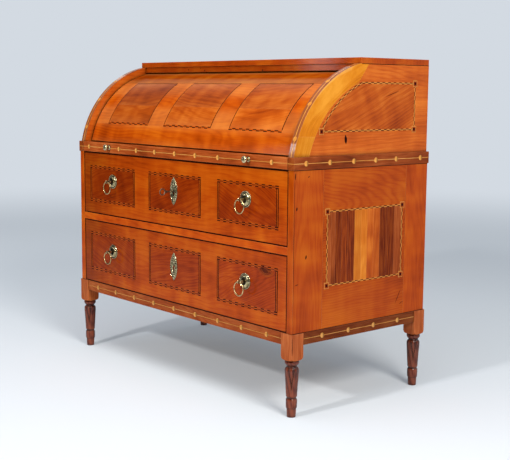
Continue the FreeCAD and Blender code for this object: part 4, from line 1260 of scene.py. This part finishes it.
def stampedHeight(u, v):
    # relief in mm at a place of the plate, u across and v up from the keyhole
    spec = scutcheon
    rise = spec["thick"]
    fromRim = ovalHalf(v) - abs(u)
    if fromRim < spec["rimWidth"]:
        bead = abs(math.sin(math.pi * spec["beads"] * (v / spec["height"] + 0.5) / 2))
        swell = math.sin(math.pi * min(1.0, fromRim / spec["rimWidth"]))
        rise += spec["rim"] * swell * (spec["beadLow"] + (1 - spec["beadLow"]) * bead)
    fromMiddle = abs(v + spec["drop"] / 2)
    toHole = math.hypot(u, max(0.0, fromMiddle - spec["drop"] / 2))
    if toHole < spec["collarEnd"]:
        rise += spec["collar"] * math.exp(-((toHole - spec["collarRing"]) / spec["collarWidth"]) ** 2)
    elif fromRim > spec["rimWidth"]:
        # ribs of the leaf spread from the keyhole towards the points
        fade = min(1.0, (fromRim - spec["rimWidth"]) / spec["fadeRim"])
        fade *= min(1.0, (toHole - spec["collarEnd"]) / spec["fadeCollar"])
        curl, wave = spec["ribCurl"]
        spread = math.atan2(u, fromMiddle) * spec["ribs"] + curl * math.sin(fromMiddle * wave)
        veins = 0.5 + 0.5 * math.cos(spread)
        low, deep, often = spec["dents"]
        dents = low + deep * math.cos(fromMiddle * often)
        rise += spec["leaf"] * fade * (spec["ribLow"] + (1 - spec["ribLow"]) * veins) * dents
    return rise


def keyholeOutline(margin=0.0):
    # the keyhole in mm from the middle of its round part, wider all round by the margin
    spec = scutcheon
    radius, half, drop = spec["hole"] + margin, spec["slot"] / 2 + margin, spec["drop"] + margin
    turns = [math.radians(d) for d in range(-50, 231, 10)]
    return [(radius * math.cos(a), radius * math.sin(a)) for a in turns] + [(-half, -drop), (half, -drop)]


def keyholeCutter(x, y, z):
    bm = bmesh.new()
    rings = [[bm.verts.new((x + u * mm, y + reach * mm, z + v * mm)) for u, v in keyholeOutline()]
             for reach in (-scutcheon["cut"], scutcheon["cut"])]
    stackRings(bm, rings)
    return finishMesh("keyholeCutter", bm, [])


def cutOut(mesh, cutter):
    # takes one solid from another and returns the result as a plain mesh
    body = bpy.data.objects.new("cutBody", mesh)
    tool = bpy.data.objects.new("cutTool", cutter)
    for thing in (body, tool):
        scene.collection.objects.link(thing)
    modifier = body.modifiers.new("cut", "BOOLEAN")
    modifier.object, modifier.operation, modifier.solver = tool, "DIFFERENCE", "EXACT"
    bpy.context.view_layer.update()
    result = bpy.data.meshes.new_from_object(body.evaluated_get(bpy.context.evaluated_depsgraph_get()))
    bpy.data.objects.remove(body)
    bpy.data.objects.remove(tool)
    return result


def makeScutcheons():
    spec = scutcheon
    shares = [2 * j / spec["stepsAcross"] - 1 for j in range(spec["stepsAcross"] + 1)]
    for row in rows:
        node = row + "_drawer_escutcheon"
        x, y, z = centreOf(node)
        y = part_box(node)[1].y
        bm = bmesh.new()
        rings = []
        for i in range(spec["stepsAlong"] + 1):
            v = -spec["height"] / 2 * math.cos(math.pi * i / spec["stepsAlong"]) * spec["tip"]
            across = [ovalHalf(v) * share for share in shares]
            top = [bm.verts.new((x + u * mm, y - stampedHeight(u, v) * mm, z + v * mm)) for u in across]
            low = [bm.verts.new((x + u * mm, y, z + v * mm)) for u in reversed(across)]
            rings.append(top + low)
        stackRings(bm, rings)
        relief = (y - (spec["thick"] - 0.1) * mm, y - (spec["thick"] + 0.4 * spec["leaf"]) * mm)
        plate = finishMesh("plate", bm, [metal("brassCastDulled", relief)])
        mesh = cutOut(plate, keyholeCutter(x, y, z))
        shadeRound(mesh, spec["smooth"])
        mesh.name = node + "_stamped"
        addPiece(node + "_stamped", mesh, row + "_drawer", "brass", node)
    print("escutcheons stamped")


# Marks of age, in mm: pin holes in the top rail (across, height, radius), and slits, knots and scratches on
# the right side as (depth from the front, height, half length, half width, angle); also painted shadow lines
# and painted shade in the empty keyhole
marks = dict(
    shift=55, pinHoles=((-293, 1063, 2.6), (-219, 1068, 2.2), (-194, 1060, 3.0), (128, 1058, 3.0)),
    slits=dict(
        side_stiles_right=((6, 738, 11, 1.6, 86), (13, 641, 6, 2.6, 80), (53, 493, 7, 2.8, 80),
                           (16, 412, 8, 1.0, 12), (60, 735, 4, 1.4, 30), (2.6, 509, 246, 0.7, 90)),
        side_panel_right=((470, 322, 26, 0.8, 60), (487, 300, 10, 0.8, 20)),
        cheek_right=((219, 842, 14, 5.5, 96), (427, 982, 32, 1.0, 17)),
        leg_front_right=((-1.6, 226, 27, 0.9, 90),)),
    topShadowLine=(284, 1.5), sideShadowLines=(1.6, 2.0),    # painted shadow lines: under the top from a depth on, and along the sides
    # a knot in the lower right field (across, height, angle), its rings (half length, half width, tone)
    knot=(474, 440, -8), knotRings=((40, 18, 0.72), (29, 13, 0.5), (17, 7, 0.3)), keyholeShadeTone=0.25)


def sliver(spot, length, width, angle):
    # a leaf-shaped outline, pointed at both ends
    c, t = math.cos(math.radians(angle)), math.sin(math.radians(angle))
    shape = [(math.cos(a) * length * mm, math.sin(a) * abs(math.sin(a)) * width * mm) for a in angles(20)]
    return [(spot[0] + c * u - t * v, spot[1] + t * u + c * v) for u, v in shape]


def makeMarks():
    shift = marks["shift"]
    dark = cutVeneer("plumStained", shift)
    sheet = startSheet()
    for x, z, radius in marks["pinHoles"]:
        addDot(sheet, onFront("top_front_rail"), x * mm, z * mm, radius * mm, dark, -4)
    for node, slits in marks["slits"].items():
        for y, z, length, width, angle in slits:
            addShape(sheet, onSide(node, 1), sliver((frontY + y * mm, z * mm), length, width, angle), dark, 3)
    # painted shadow: dark strips under the top board at the cheeks and along the foot and top of the side stiles
    begin, width = (value * mm for value in marks["topShadowLine"])
    below, above = (value * mm for value in marks["sideShadowLines"])
    for name, side in sides:
        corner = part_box("cheek_" + name)[1]
        place = onSide("cheek_" + name, side)
        addTile(sheet, place, frontY + begin, corner.y, corner.z - width, corner.z, dark)
        lowest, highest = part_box("side_stiles_" + name)
        for z0, z1 in ((lowest.z, lowest.z + below), (highest.z - above, highest.z)):
            addTile(sheet, onSide("side_stiles_" + name, side), lowest.y, highest.y, z0, z1, dark)
    endSheet(sheet, "age_marks_and_painted_shadows", "case", "cherry")
    sheet = startSheet()
    place = onFront("bottom_drawer_front")
    x, z, angle = marks["knot"]
    for k, (length, width, tone) in enumerate(marks["knotRings"]):
        ring = cutVeneer("cherryHeartVeneer", shift + 1 + k, tone)
        addShape(sheet, place, sliver((x * mm, z * mm), length, width, angle), ring, 0.8 * (k + 1))
    # painted shade: a dark piece in the empty keyhole below, which is dark inside
    spot = centreOf("bottom_drawer_escutcheon")
    shape = [(spot.x + u * mm, spot.z + v * mm) for u, v in keyholeOutline(scutcheon["inside"])]
    addShape(sheet, place, shape, cutVeneer("plumStained", shift + 4, marks["keyholeShadeTone"]), -4)
    endSheet(sheet, "field_knot", "bottom_drawer", "cherry")
    print("marks of age added")


makeStudio()
makeBoards()
makeDrawerFields()
makeCylinder()
makeSideSquares()
makeCheeks()
makeBands()
makeLegs()
makePulls()
makeSlideKnobs()
makeScutcheons()
makeMarks()
